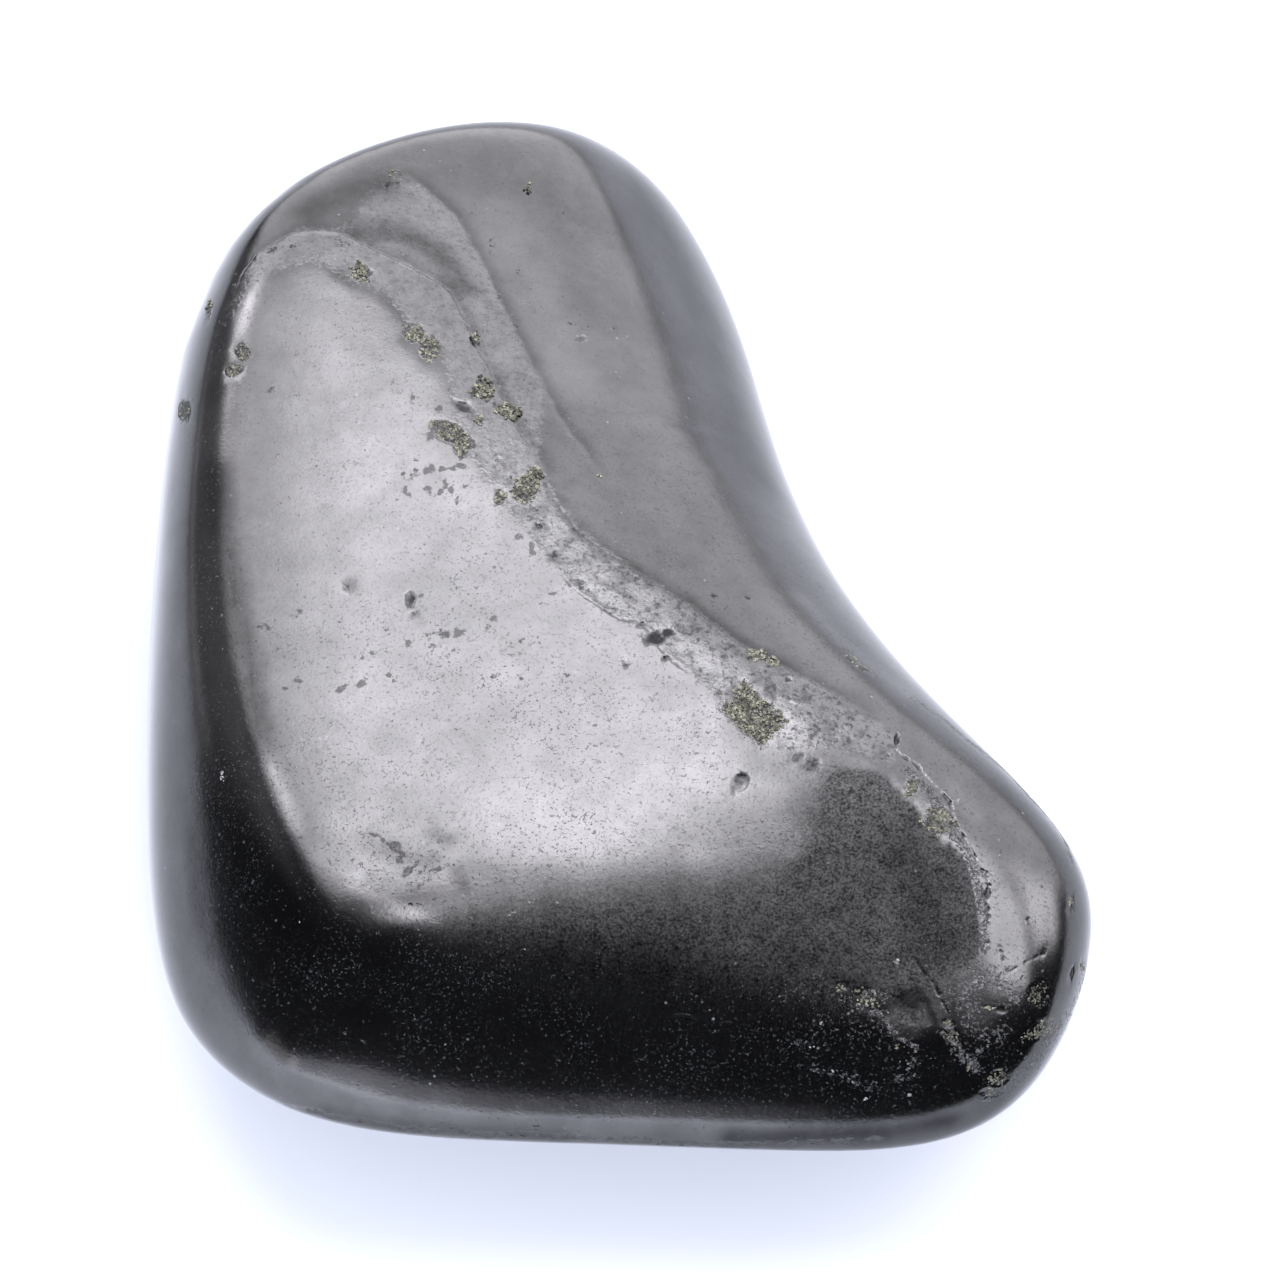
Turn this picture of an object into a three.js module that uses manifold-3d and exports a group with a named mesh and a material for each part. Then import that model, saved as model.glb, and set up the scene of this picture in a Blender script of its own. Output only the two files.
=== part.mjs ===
// A tumbled shungite pebble, polished all over and lying on a small flat spot of its underside.
//
// From above it is a fat boot: a long leg that runs back to the left, and a nose that points to the right.
// A level plateau on top falls over a broken ledge to a broad bevel on the inner side of the bend. A shallow
// dish is worn into the plateau's right end, and a collar rises round the nose beyond it. The front is a
// steep smooth face that tucks under in a narrow rim.
//
// Millimetres, +Z up. The origin is the centre of the pebble's box, on the surface that it lies on. -Y is the
// front, and the nose points to +X.

import * as THREE from 'three';
import { mergeVertices } from 'three/addons/utils/BufferGeometryUtils.js';
import Module from 'manifold-3d';

const wasm = await Module();
wasm.setup();

// ---------------------------------------------------------------- driving dimensions

const THICKNESS = 16.3;              // from the underside to the plateau, before the flat spot is worn on it
const CORE_HEIGHT = 8;               // height of the point that every facet is measured from
const PLATEAU_REACH = THICKNESS - CORE_HEIGHT;
const HALF_WIDTH = 21;               // rough half sizes, which only spread the mesh evenly
const HALF_LENGTH = 27;
const LOWEST = [-1, -4];             // where the domed underside is lowest: its Y and X from the core
const DOME = 0.01;                   // curvature of the underside, in 1/mm
const FLAT_SPOT_DEPTH = 0.25;        // what the flat resting spot takes off the domed underside
const SKIN_DETAIL = 18;              // divisions of each of the twenty faces that the skin starts from
const LONGEST_REACH = 45;            // no point of the skin is this far from the core
const HALVINGS = 36;                 // steps of the search for the skin along a line

const STONE_NAME = 'shungite_stone';
const STONE_COLOUR = 0x1b1a1e;       // near black, faintly blue
const STONE_ROUGHNESS = 0.2;
const STONE_METALNESS = 0.3;

const CORE = new THREE.Vector3(0, 0, CORE_HEIGHT);
const UP = new THREE.Vector3(0, 0, 1);
const FORWARD = new THREE.Vector3(0, -1, 0);

// The facets that tumbling wore on the pebble. Each faces `azimuth` degrees round from +X and leans `tilt`
// degrees from straight up, at `reach` from the core. `edge` is how softly it rounds into its neighbours.
// `level` and `fall` are its curvatures along the slope and down it, in 1/mm: positive bulges and negative is
// hollow, about the point `at` of the facet's own two axes.
const FACETS = Object.values({
  plateau: facet({ azimuth: -80, tilt: 2, reach: PLATEAU_REACH, edge: 0.5, level: 0.002, fall: 0.002 }),
  dish: facet({ azimuth: -54, tilt: 17, reach: 11.3, edge: 0.8, level: -0.02, fall: -0.02, at: [-6, -17] }),
  terrace: facet({ azimuth: 43, tilt: 15, reach: 8, edge: 0.5, level: -0.005 }),
  collar: facet({ azimuth: 4, tilt: 32, reach: 12.1, edge: 1.3, fall: -0.01 }),
  bevel: facet({ azimuth: 32, tilt: 29, reach: 7.4, edge: 1, level: -0.014, fall: 0.03 }),
  frontFace: facet({ azimuth: -90, tilt: 49, reach: 20.1, edge: 1.2, level: -0.01, fall: 0.004 }),
  frontUndercut: facet({ azimuth: -95, tilt: 132, reach: 16.4, edge: 1.2, level: -0.002, fall: -0.035 }),
  heelCut: facet({ azimuth: -132, tilt: 34, reach: 20.2, edge: 0.8, level: 0.008 }),
  heel: facet({ azimuth: -129, tilt: 86, reach: 29, edge: 2.6, level: 0.01, fall: 0.03 }),
  leftShoulder: facet({ azimuth: -170, tilt: 42, reach: 18.4, edge: 0.5, level: 0.015, fall: 0.006 }),
  leftSide: facet({ azimuth: 180, tilt: 82, reach: 20.7, edge: 1.6, level: 0.004, fall: 0.01 }),
  backLeft: facet({ azimuth: 134, tilt: 62, reach: 26.3, edge: 2, level: 0.035, fall: 0.01 }),
  backSlope: facet({ azimuth: 79, tilt: 56, reach: 29.2, edge: 2, level: 0.015, fall: 0.01 }),
  backEnd: facet({ azimuth: 85, tilt: 98, reach: 29.3, edge: 2, level: 0.012, fall: 0.03 }),
  waist: facet({ azimuth: 27, tilt: 90, reach: 10.3, edge: 1.6, level: -0.03, fall: 0.035, at: [-5, 0] }),
  nose: facet({ azimuth: -3, tilt: 98, reach: 22.7, edge: 2.4, level: 0.004, fall: 0.03 }),
  noseFront: facet({ azimuth: -45, tilt: 90, reach: 31.2, edge: 2.6, level: 0.004, fall: 0.03 }),
  base: facet({ azimuth: 0, tilt: 180, reach: CORE_HEIGHT, edge: 2, level: DOME, fall: DOME, at: LOWEST }),
});

// Breaks that follow a line on the skin: `depth` below the line itself, running out to the skin at `left`
// and at `right` of it. The ledges are seen from above, and travel from the back left round to the nose, so
// the stone drops on their left and keeps a steep scarp on their right.
const PLATEAU_LEDGE = {
  depth: 0.4,
  left: 1.7,
  right: 0.15,
  line: [[-17.6, 11], [-16.6, 14.9], [-14.4, 16.2], [-12.6, 16.7], [-10.8, 16], [-8.9, 14.6], [-7.3, 12.8],
    [-5.7, 10.1], [-5.3, 7.8], [-3.3, 3.8], [-2.5, 1.3], [1.5, -2.4], [4.3, -4.5], [7.2, -6.5], [11.8, -9.7]],
};
const TERRACE_LEDGE = {
  depth: 0.35,
  left: 2.6,
  right: 0.15,
  line: [[-15.3, 17], [-12.7, 19.9], [-10.9, 20.8], [-8.9, 20.3], [-7.2, 18.4], [-5.7, 14.4], [-4.6, 12.1],
    [-4.3, 10.1], [-2.9, 7.5], [-1.1, 4.3], [0.3, 0.9]],
};
const COLLAR_CRACK = {
  depth: 0.35,
  left: 0.3,
  right: 0.3,
  line: [[11.8, -9.7], [13.5, -12.7], [14.5, -14], [15.4, -16.2], [15.6, -18.2], [15.4, -19.8]],
};
// Seen from the front, as X and height: the chipped line that is left unpolished low on the face.
const FRONT_CHIPS = {
  depth: 0.3,
  left: 0.4,
  right: 0.4,
  line: [[-13.6, 8.2], [-11.3, 8.4], [-7.9, 7.7], [-2.4, 7.4], [0.9, 7.3], [7.7, 7.2]],
};
const BREAK_STEPS = 3;               // rings of a break's cutter for each point of its line
const BREAK_FADE = 0.2;              // a break fades in and out over this share of its length
const BREAK_END = 0.1;               // and is this share of its full size at its very ends
const LIP = 0.02;                    // how far a cutter's lips stand off the skin
const CLEAR = 1.5;                   // how far its back stands off

// Pits and chips in the top, seen from above: place, length, width, depth, and the turn of the length.
const PITS = [
  { x: 1.9, y: -5.5, length: 1.5, width: 0.8, depth: 0.45, turn: 20 },
  { x: 5.2, y: -12.8, length: 1.1, width: 0.7, depth: 0.35, turn: 65 },
  { x: -6.7, y: 6.4, length: 1.2, width: 0.9, depth: 0.45, turn: -40 },
  { x: -8.9, y: -3.8, length: 0.9, width: 0.6, depth: 0.3, turn: 80 },
  { x: -15, y: -5.1, length: 0.8, width: 0.6, depth: 0.3, turn: 0 },
  { x: -1.5, y: 12.1, length: 1.2, width: 0.7, depth: 0.3, turn: 30 },
  { x: 12.5, y: -12.3, length: 0.8, width: 1.1, depth: 0.35, turn: 0 },
  { x: 13.6, y: -13.8, length: 1.5, width: 1.2, depth: 0.3, turn: -20 },
  { x: 5.6, y: -9.4, length: 3, width: 2.6, depth: 0.25, turn: 45 },
  { x: 12.1, y: -22, length: 2.6, width: 2.2, depth: 0.6, turn: -50 },
];
const PIT_DETAIL = 1;                // divisions of the lumps that the pits are cut with

// ---------------------------------------------------------------- the facets and the skin that they enclose

function facet({ azimuth, tilt, reach, edge, level = 0, fall = 0, at = [0, 0] }) {
  const around = THREE.MathUtils.degToRad(azimuth);
  const lean = THREE.MathUtils.degToRad(tilt);
  const normal = new THREE.Vector3(
    Math.sin(lean) * Math.cos(around),
    Math.sin(lean) * Math.sin(around),
    Math.cos(lean),
  );
  const along = new THREE.Vector3(-Math.sin(around), Math.cos(around), 0);
  const down = new THREE.Vector3().crossVectors(normal, along);
  return { normal, along, down, reach, edge, level, fall, at };
}

// How far a point lies outside one facet, in millimetres.
function heightOver(face, fromCore) {
  const alongOffset = fromCore.dot(face.along) - face.at[0];
  const downOffset = fromCore.dot(face.down) - face.at[1];
  const bulge = (face.level * alongOffset ** 2 + face.fall * downOffset ** 2) / 2;
  return fromCore.dot(face.normal) - face.reach + bulge;
}

// A point is inside where the facets' pressures sum to less than 1, so neighbours round into one another.
function isInside(point) {
  const fromCore = point.clone().sub(CORE);
  const pressure = FACETS.reduce((sum, face) => sum + Math.exp(heightOver(face, fromCore) / face.edge), 0);
  return pressure < 1;
}

// The point of the skin that a line meets on its way out from an inner point.
function skinPoint(inner, direction) {
  let near = 0;
  let far = LONGEST_REACH;
  for (let step = 0; step < HALVINGS; step += 1) {
    const middle = (near + far) / 2;
    const point = inner.clone().addScaledVector(direction, middle);
    if (isInside(point)) near = middle;
    else far = middle;
  }
  return inner.clone().addScaledVector(direction, near);
}

function topPoint(x, y) {
  return skinPoint(new THREE.Vector3(x, y, CORE_HEIGHT), UP);
}

function frontPoint(x, z) {
  return skinPoint(new THREE.Vector3(x, 0, z), FORWARD);
}

// The whole pebble before its breaks: a ball of even triangles, each corner moved out to the skin.
function pebbleGeometry() {
  const geometry = sharedCorners(new THREE.IcosahedronGeometry(1, SKIN_DETAIL));
  const corners = geometry.attributes.position;
  const spread = new THREE.Vector3(HALF_WIDTH, HALF_LENGTH, CORE_HEIGHT);
  const direction = new THREE.Vector3();
  for (let i = 0; i < corners.count; i += 1) {
    direction.fromBufferAttribute(corners, i).multiply(spread).normalize();
    const point = skinPoint(CORE, direction);
    corners.setXYZ(i, point.x, point.y, point.z);
  }
  return geometry;
}

// ---------------------------------------------------------------- what is cut out of it

// The solid that a break removes: rings across its line, joined one to the next. `onSkin` finds the skin
// from the line's two coordinates, and `outward` is the way out of the stone there.
function breakCutter({ depth, left, right, line }, onSkin, outward) {
  const points = line.map(([u, v]) => new THREE.Vector3(u, v, 0));
  const path = new THREE.CatmullRomCurve3(points, false, 'centripetal');
  const steps = line.length * BREAK_STEPS;
  const rings = [];
  for (let i = 0; i <= steps; i += 1) {
    const place = i / steps;
    const fade = Math.min(1, BREAK_END + Math.min(place, 1 - place) / BREAK_FADE);
    const middle = path.getPoint(place);
    const tangent = path.getTangent(place);
    const beside = (offset) => onSkin(middle.x - tangent.y * offset, middle.y + tangent.x * offset);
    const leftLip = beside(left * fade);
    const rightLip = beside(-right * fade);
    rings.push([
      leftLip.clone().addScaledVector(outward, CLEAR),
      leftLip.clone().addScaledVector(outward, LIP),
      beside(0).addScaledVector(outward, -depth * fade),
      rightLip.clone().addScaledVector(outward, LIP),
      rightLip.clone().addScaledVector(outward, CLEAR),
    ]);
  }
  return loft(rings);
}

// A closed solid through rings of corners, each ring in the same turning sense.
function loft(rings) {
  const size = rings[0].length;
  const last = (rings.length - 1) * size;
  const index = [];
  for (let start = 0; start < last; start += size) {
    for (let c = 0; c < size; c += 1) {
      const next = (c + 1) % size;
      index.push(start + c, start + size + c, start + next);
      index.push(start + next, start + size + c, start + size + next);
    }
  }
  for (let c = 1; c + 1 < size; c += 1) {
    index.push(0, c, c + 1);
    index.push(last, last + c + 1, last + c);
  }
  const geometry = new THREE.BufferGeometry().setFromPoints(rings.flat());
  return geometry.setIndex(index);
}

function pitCutter({ x, y, length, width, depth, turn }) {
  const lump = new THREE.IcosahedronGeometry(1, PIT_DETAIL);
  const centre = topPoint(x, y);
  lump.scale(length / 2, width / 2, depth);
  lump.rotateZ(THREE.MathUtils.degToRad(turn));
  lump.translate(centre.x, centre.y, centre.z);
  return lump;
}

function flatSpotCutter() {
  const depth = 5;
  const slab = new THREE.BoxGeometry(4 * HALF_WIDTH, 4 * HALF_LENGTH, depth);
  slab.translate(0, 0, FLAT_SPOT_DEPTH - depth / 2);
  return slab;
}

// ---------------------------------------------------------------- solids

function sharedCorners(geometry) {
  geometry.deleteAttribute('normal');
  geometry.deleteAttribute('uv');
  return mergeVertices(geometry, 1e-4);
}

function toSolid(geometry) {
  const closed = sharedCorners(geometry);
  const mesh = new wasm.Mesh({
    numProp: 3,
    vertProperties: new Float32Array(closed.attributes.position.array),
    triVerts: new Uint32Array(closed.index.array),
  });
  return new wasm.Manifold(mesh);
}

function toGeometry(solid) {
  const mesh = solid.getMesh();
  const geometry = new THREE.BufferGeometry();
  geometry.setAttribute('position', new THREE.BufferAttribute(new Float32Array(mesh.vertProperties), 3));
  geometry.setIndex(new THREE.BufferAttribute(new Uint32Array(mesh.triVerts), 1));
  geometry.computeVertexNormals();
  return geometry;
}

// Moves the pebble so that its box stands centred on the origin.
function standOnOrigin(geometry) {
  geometry.computeBoundingBox();
  const { min, max } = geometry.boundingBox;
  geometry.translate(-(min.x + max.x) / 2, -(min.y + max.y) / 2, -min.z);
  return geometry;
}

function stoneMesh() {
  const cutters = [
    breakCutter(PLATEAU_LEDGE, topPoint, UP),
    breakCutter(TERRACE_LEDGE, topPoint, UP),
    breakCutter(COLLAR_CRACK, topPoint, UP),
    breakCutter(FRONT_CHIPS, frontPoint, FORWARD),
    ...PITS.map(pitCutter),
    flatSpotCutter(),
  ];
  const whole = toSolid(pebbleGeometry());
  const solid = cutters.reduce((stone, cutter) => stone.subtract(toSolid(cutter)), whole);
  const material = new THREE.MeshStandardMaterial({
    color: STONE_COLOUR,
    roughness: STONE_ROUGHNESS,
    metalness: STONE_METALNESS,
  });
  const mesh = new THREE.Mesh(standOnOrigin(toGeometry(solid)), material);
  mesh.name = STONE_NAME;
  return mesh;
}

const pebble = new THREE.Group();
pebble.add(stoneMesh());

export default pebble;
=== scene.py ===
"""A tumbled shungite pebble in a white studio: its polished skin, broken ledges, pits and pyrite.

The skin has the facets of the CAD solid, on a finer mesh. What is broken, worn or grown in it is placed by
pixels of the 1280 x 1280 picture, cast from the camera onto the stone, so that it sits on the skin from any
side. Shapes are worked out in millimetres from the stone's core and are made in metres.
"""

import math
import random
from collections import namedtuple
from types import SimpleNamespace

import bmesh
import bpy
import numpy as np
from mathutils import Matrix, Vector, noise
from mathutils.bvhtree import BVHTree


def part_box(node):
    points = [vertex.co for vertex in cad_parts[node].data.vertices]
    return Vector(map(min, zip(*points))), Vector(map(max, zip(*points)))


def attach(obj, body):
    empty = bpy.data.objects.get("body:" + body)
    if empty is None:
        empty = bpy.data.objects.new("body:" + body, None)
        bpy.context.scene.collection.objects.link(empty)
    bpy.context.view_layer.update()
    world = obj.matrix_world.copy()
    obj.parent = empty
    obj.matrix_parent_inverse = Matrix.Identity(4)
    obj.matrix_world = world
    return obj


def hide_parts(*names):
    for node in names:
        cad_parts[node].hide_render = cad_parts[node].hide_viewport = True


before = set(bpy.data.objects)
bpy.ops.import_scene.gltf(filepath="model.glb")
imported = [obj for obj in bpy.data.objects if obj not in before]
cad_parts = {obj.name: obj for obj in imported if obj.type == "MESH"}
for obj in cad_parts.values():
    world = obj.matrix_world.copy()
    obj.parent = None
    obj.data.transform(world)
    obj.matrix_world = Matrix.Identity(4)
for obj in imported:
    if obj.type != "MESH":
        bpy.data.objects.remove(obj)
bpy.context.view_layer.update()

# ---- the stone, as in the CAD source

MM = 0.001  # metres in a millimetre
STONE = "shungite_stone"
THICKNESS = 16.3
CORE_HEIGHT = 8.0  # the core is this far above the lowest point of the domed underside
HALF_WIDTH = 21.0
HALF_LENGTH = 27.0
DOME = 0.01  # curvature of the underside, in 1/mm
FLAT_SPOT_DEPTH = 0.25  # how much of the dome the resting spot takes off
LONGEST_REACH = 45.0  # no point of the skin is further from the core
HALVINGS = 30  # steps in which a point of the skin is found
LEAST_SEEN_RISE = -0.25  # normals below this are on the underside, where the mesh stays coarse


def facet(azimuth, tilt, reach, edge, level=0.0, fall=0.0, at=(0.0, 0.0)):
    around, lean = math.radians(azimuth), math.radians(tilt)
    normal = np.array([math.sin(lean) * math.cos(around), math.sin(lean) * math.sin(around), math.cos(lean)])
    along = np.array([-math.sin(around), math.cos(around), 0.0])
    return {"normal": normal, "along": along, "down": np.cross(normal, along), "reach": reach, "edge": edge,
            "level": level, "fall": fall, "at": at}


# Each facet faces azimuth degrees round from +X and leans tilt degrees from straight up, at reach from the
# core. edge is how softly it rounds into its neighbours; level and fall are curvatures, in 1/mm, about at.
FACETS = {
    "plateau": facet(-80, 2, THICKNESS - CORE_HEIGHT, 0.5, 0.002, 0.002),
    "dish": facet(-54, 17, 11.3, 0.8, -0.02, -0.02, (-6, -17)),
    "terrace": facet(43, 15, 8, 0.5, -0.005),
    "collar": facet(4, 32, 12.1, 1.3, 0, -0.01),
    "bevel": facet(32, 29, 7.4, 1, -0.014, 0.03),
    "front_face": facet(-90, 49, 20.1, 1.2, -0.01, 0.004),
    "front_undercut": facet(-95, 132, 16.4, 1.2, -0.002, -0.035),
    "heel_cut": facet(-132, 34, 20.2, 0.8, 0.008),
    "heel": facet(-129, 86, 29, 2.6, 0.01, 0.03),
    "left_shoulder": facet(-170, 42, 18.4, 0.5, 0.015, 0.006),
    "left_side": facet(180, 82, 20.7, 1.6, 0.004, 0.01),
    "back_left": facet(134, 62, 26.3, 2, 0.035, 0.01),
    "back_slope": facet(79, 56, 29.2, 2, 0.015, 0.01),
    "back_end": facet(85, 98, 29.3, 2, 0.012, 0.03),
    "waist": facet(27, 90, 10.3, 1.6, -0.03, 0.035, (-5, 0)),
    "nose": facet(-3, 98, 22.7, 2.4, 0.004, 0.03),
    "nose_front": facet(-45, 90, 31.2, 2.6, 0.004, 0.03),
    "base": facet(0, 180, CORE_HEIGHT, 2, DOME, DOME, (-1, -4)),
}


def column(key):
    return np.array([face[key] for face in FACETS.values()])


NORMAL, ALONG, DOWN = column("normal"), column("along"), column("down")
REACH, EDGE, LEVEL, FALL, AT = column("reach"), column("edge"), column("level"), column("fall"), column("at")

# ---- the camera

PICTURE = 1280  # pixels a side
ELEVATION = 55.0  # degrees above the horizon, looking along +Y
DISTANCE = 270.0  # mm from the core
PIXELS_PER_MM = 22.5  # at the core
CORE_PIXEL = (618.0, 633.0)  # where the core is in the picture
SENSOR = 36.0  # mm

BACK = np.array([0.0, -math.cos(math.radians(ELEVATION)), math.sin(math.radians(ELEVATION))])
RIGHT = np.array([1.0, 0.0, 0.0])
UPWARD = np.cross(BACK, RIGHT)
EYE = BACK * DISTANCE
FOCAL = PIXELS_PER_MM * DISTANCE  # in pixels


def to_pixels(points):
    """The picture's pixels that points are seen at."""
    from_eye = points - EYE
    depth = -(from_eye @ BACK)
    x = CORE_PIXEL[0] + FOCAL * (from_eye @ RIGHT) / depth
    y = CORE_PIXEL[1] - FOCAL * (from_eye @ UPWARD) / depth
    return np.stack([x, y], axis=1)


def pixel_ray(x, y):
    """The direction in which the eye sees a pixel."""
    ray = RIGHT * (x - CORE_PIXEL[0]) - UPWARD * (y - CORE_PIXEL[1]) - BACK * FOCAL
    return ray / np.linalg.norm(ray)


# ---- what is on the skin, in pixels

# The scarp where the plateau falls to the bevel, from the back left round to the nose. It drops on the left.
PLATEAU_LEDGE = [
    (222, 330), (232, 290), (250, 256), (273, 240), (298, 228), (337, 228), (377, 245), (413, 263),
    (443, 280), (460, 299), (476, 336), (488, 359), (504, 395), (522, 428), (542, 459), (551, 487),
    (572, 522), (610, 552), (651, 579), (692, 604), (734, 637), (780, 663), (826, 686), (875, 719),
    (898, 736),
]
# The fainter one that frames the far end and then runs out on the bevel.
TERRACE_LEDGE = [
    (377, 162), (400, 165), (422, 176), (458, 208), (480, 245), (497, 280), (511, 311), (534, 360),
    (551, 393), (566, 422), (595, 462), (606, 485),
]
# The plateau's own edge. The seam of rough stone lies between it and the scarp, and goes on to the nose.
PLATEAU_LIP = [
    (240, 303), (247, 285), (262, 272), (306, 262), (323, 262), (339, 274), (385, 294), (404, 316),
    (440, 350), (452, 385), (455, 420), (478, 462), (500, 500), (530, 535), (561, 573), (601, 608),
    (642, 625), (668, 652), (705, 682), (722, 712), (761, 745), (791, 751), (826, 744), (854, 753),
    (877, 761), (898, 767),
]
# The outer rim of the seam: along the plateau's scarp, but out to the terrace's at the far end.
SEAM_RIM = [
    *PLATEAU_LEDGE[:4], (298, 224), (337, 226), (354, 210), (372, 185), (395, 172), *TERRACE_LEDGE[2:7],
    (532, 358), (545, 392), (541, 425), *PLATEAU_LEDGE[14:],
]
# The part of the plateau's edge beyond which the far end falls away.
FAR_EDGE = [
    (236, 318), (247, 285), (262, 268), (306, 258), (323, 258), (345, 274), (385, 292), (410, 312),
    (440, 345), (456, 385), (475, 440), (500, 485),
]
# A fine crease along the lip.
INNER_CREASE = [
    (561, 573), (572, 587), (584, 596), (608, 612), (621, 619), (642, 623), (665, 654), (692, 675),
]
# The crack between the dish and the collar, down to the nose, and its side branches.
COLLAR_CRACK = [
    (903, 729), (896, 750), (916, 765), (930, 781), (943, 794), (950, 803), (956, 825), (965, 839),
    (973, 852), (981, 870), (988, 879), (987, 905), (988, 925), (985, 950),
]
CRACK_BRANCHES = [[(950, 803), (961, 803)], [(981, 870), (992, 874)], [(897, 752), (884, 757)]]
# The nose: the crack in its scoop, the scoop's lower edge, and a worn trail below.
SCOOP_CRACK = [(913, 957), (922, 970), (930, 979), (938, 992), (943, 1004), (949, 1015)]
SCOOP_EDGE = [(886, 1003), (887, 1018), (890, 1030), (904, 1040), (917, 1048)]
NOSE_TRAIL = [(949, 1028), (954, 1042), (959, 1051), (966, 1060), (973, 1066)]
# The worn crest of the collar.
CREST = [
    (914, 700), (939, 716), (965, 738), (983, 752), (1001, 767), (1017, 783), (1030, 798), (1048, 816),
    (1059, 832), (1066, 845), (1070, 856),
]
# The chipped line low on the front.
FRONT_CHIPS = [
    (286, 1106), (320, 1112), (338, 1118), (364, 1121), (385, 1124), (425, 1130), (451, 1128), (474, 1133),
    (516, 1134), (558, 1136), (640, 1140), (720, 1144), (803, 1143), (880, 1138),
]
# The outline of the hollow in the plateau's right end.
DISH = [
    (822, 767), (858, 767), (880, 772), (903, 794), (916, 807), (930, 832), (952, 845), (961, 854),
    (968, 868), (976, 901), (980, 935), (978, 957), (957, 990), (930, 1004), (890, 1016), (847, 1020),
    (790, 1022), (700, 1018), (600, 1000), (500, 975), (440, 940), (450, 922), (540, 893), (620, 884),
    (700, 882), (752, 872), (790, 845), (806, 805),
]
# Lines where the polish is worn off or never reached: their pixels, half-width in mm and strength.
WORN = [
    (CREST, 0.28, 0.6),
    ([(908, 770), (935, 800), (950, 830), (964, 850), (976, 880), (982, 910), (982, 945)], 0.28, 0.5),
    ([(962, 1000), (975, 982), (990, 972)], 0.3, 0.5),
    ([(968, 990), (985, 975), (1000, 985), (1012, 994)], 0.6, 0.42), (SCOOP_EDGE[1:], 0.13, 0.42),
    ([(992, 1099), (1020, 1077), (1048, 1047), (1070, 1012), (1084, 978)], 0.55, 0.38),
    ([(943, 990), (960, 1000), (975, 1006)], 0.5, 0.36), (NOSE_TRAIL, 0.3, 0.42),
    ([(858, 1006), (868, 995), (886, 996)], 0.35, 0.4), ([(872, 1012), (880, 1014)], 0.2, 0.45),
    ([(976, 1054), (982, 1049), (988, 1043)], 0.15, 0.4),
    ([(918, 1050), (914, 1058), (909, 1067)], 0.15, 0.36),
    ([(966, 1024), (980, 1030), (1000, 1034)], 0.5, 0.3), ([(895, 1080), (914, 1076)], 0.2, 0.36),
    ([(815, 1068), (848, 1078), (867, 1086), (876, 1087)], 0.25, 0.28),
    ([(780, 995), (815, 990), (850, 1000)], 0.5, 0.24),
    ([(800, 1040), (840, 1020), (880, 1030)], 0.9, 0.18),
]
# The rim of the far end, on the right.
RIGHT_RIM = [(645, 190), (672, 240), (694, 285), (711, 325), (726, 365), (740, 405), (753, 445), (764, 478)]
# Painted shade (above 0) and painted sheen (below 0): soft strokes where the polish's colour is made to
# reflect less or more. Pixels, half-width in mm, amount.
SHADE_AND_SHEEN_STROKES = [
    (RIGHT_RIM, 3.2, 0.8), ([(244, 345), (246, 312), (250, 300)], 0.5, -0.35),
    ([(272, 768), (284, 796), (295, 825)], 0.5, -0.5), ([(318, 856), (340, 872), (352, 882)], 0.5, -0.4),
    ([(353, 883), (378, 900), (396, 907), (412, 916), (432, 923)], 0.55, -0.8),
    ([(905, 1000), (912, 1012)], 0.7, 0.2), ([(984, 790), (1010, 800), (1026, 812)], 1.1, 0.15),
    ([(262, 300), (285, 330), (330, 360)], 2.0, -0.15), ([(190, 840), (196, 900), (206, 950)], 0.9, 0.3),
    ([(436, 836), (447, 840)], 0.7, 0.3), ([(455, 874), (463, 886)], 0.6, 0.3),
    ([(372, 840), (400, 854), (425, 862)], 1.1, 0.35), ([(440, 862), (500, 872)], 0.9, 0.15),
    ([(310, 205), (335, 192), (362, 180), (385, 178)], 1.7, 0.45),
    ([(220, 470), (226, 530), (234, 590), (244, 640), (253, 690), (263, 745)], 1.0, 0.55),
    ([(355, 225), (400, 228), (440, 248), (463, 280)], 1.2, 0.5),
    ([(330, 270), (362, 290), (388, 303), (406, 325)], 0.4, 0.3),
    ([(360, 470), (362, 560), (366, 680)], 3.2, -0.2), ([(480, 872), (560, 862), (650, 832)], 1.6, 0.12),
    ([(700, 862), (760, 852), (800, 838)], 1.3, -0.5), ([(898, 1020), (915, 1022), (932, 1016)], 1.0, -2.2),
    ([(430, 948), (540, 945), (650, 946), (740, 962)], 2.0, -0.45), ([(400, 360), (430, 385)], 1.0, -0.15),
    ([(305, 500), (310, 570), (312, 620)], 1.6, -0.13), ([(470, 500), (480, 570)], 2.0, -0.08),
    ([(422, 640), (425, 700), (424, 770)], 1.8, -0.1), ([(560, 760), (650, 765), (740, 745)], 2.4, 0.1),
    ([(600, 800), (650, 805), (690, 800)], 1.4, 0.12), ([(735, 735), (755, 756), (770, 765)], 1.2, 0.15),
    ([(895, 985), (930, 990), (965, 985)], 0.9, -0.35), ([(955, 788), (976, 818)], 0.8, -0.3),
    ([(500, 215), (530, 270), (552, 325), (572, 380)], 2.4, -0.28), (PLATEAU_LEDGE[16:22], 0.9, 0.18),
    ([(905, 855), (930, 900), (940, 945)], 2.6, 0.5), ([(800, 598), (850, 648), (905, 692)], 1.0, -0.5),
    ([(730, 1138), (800, 1136), (880, 1132), (950, 1120)], 0.9, 0.55),
    ([(330, 1114), (385, 1124), (450, 1130), (560, 1137)], 0.8, 0.3),
    ([(350, 790), (400, 812), (470, 850), (560, 880)], 1.8, 0.13),
    ([(184, 330), (175, 400), (169, 470), (164, 540)], 1.7, 0.8),
]
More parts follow.
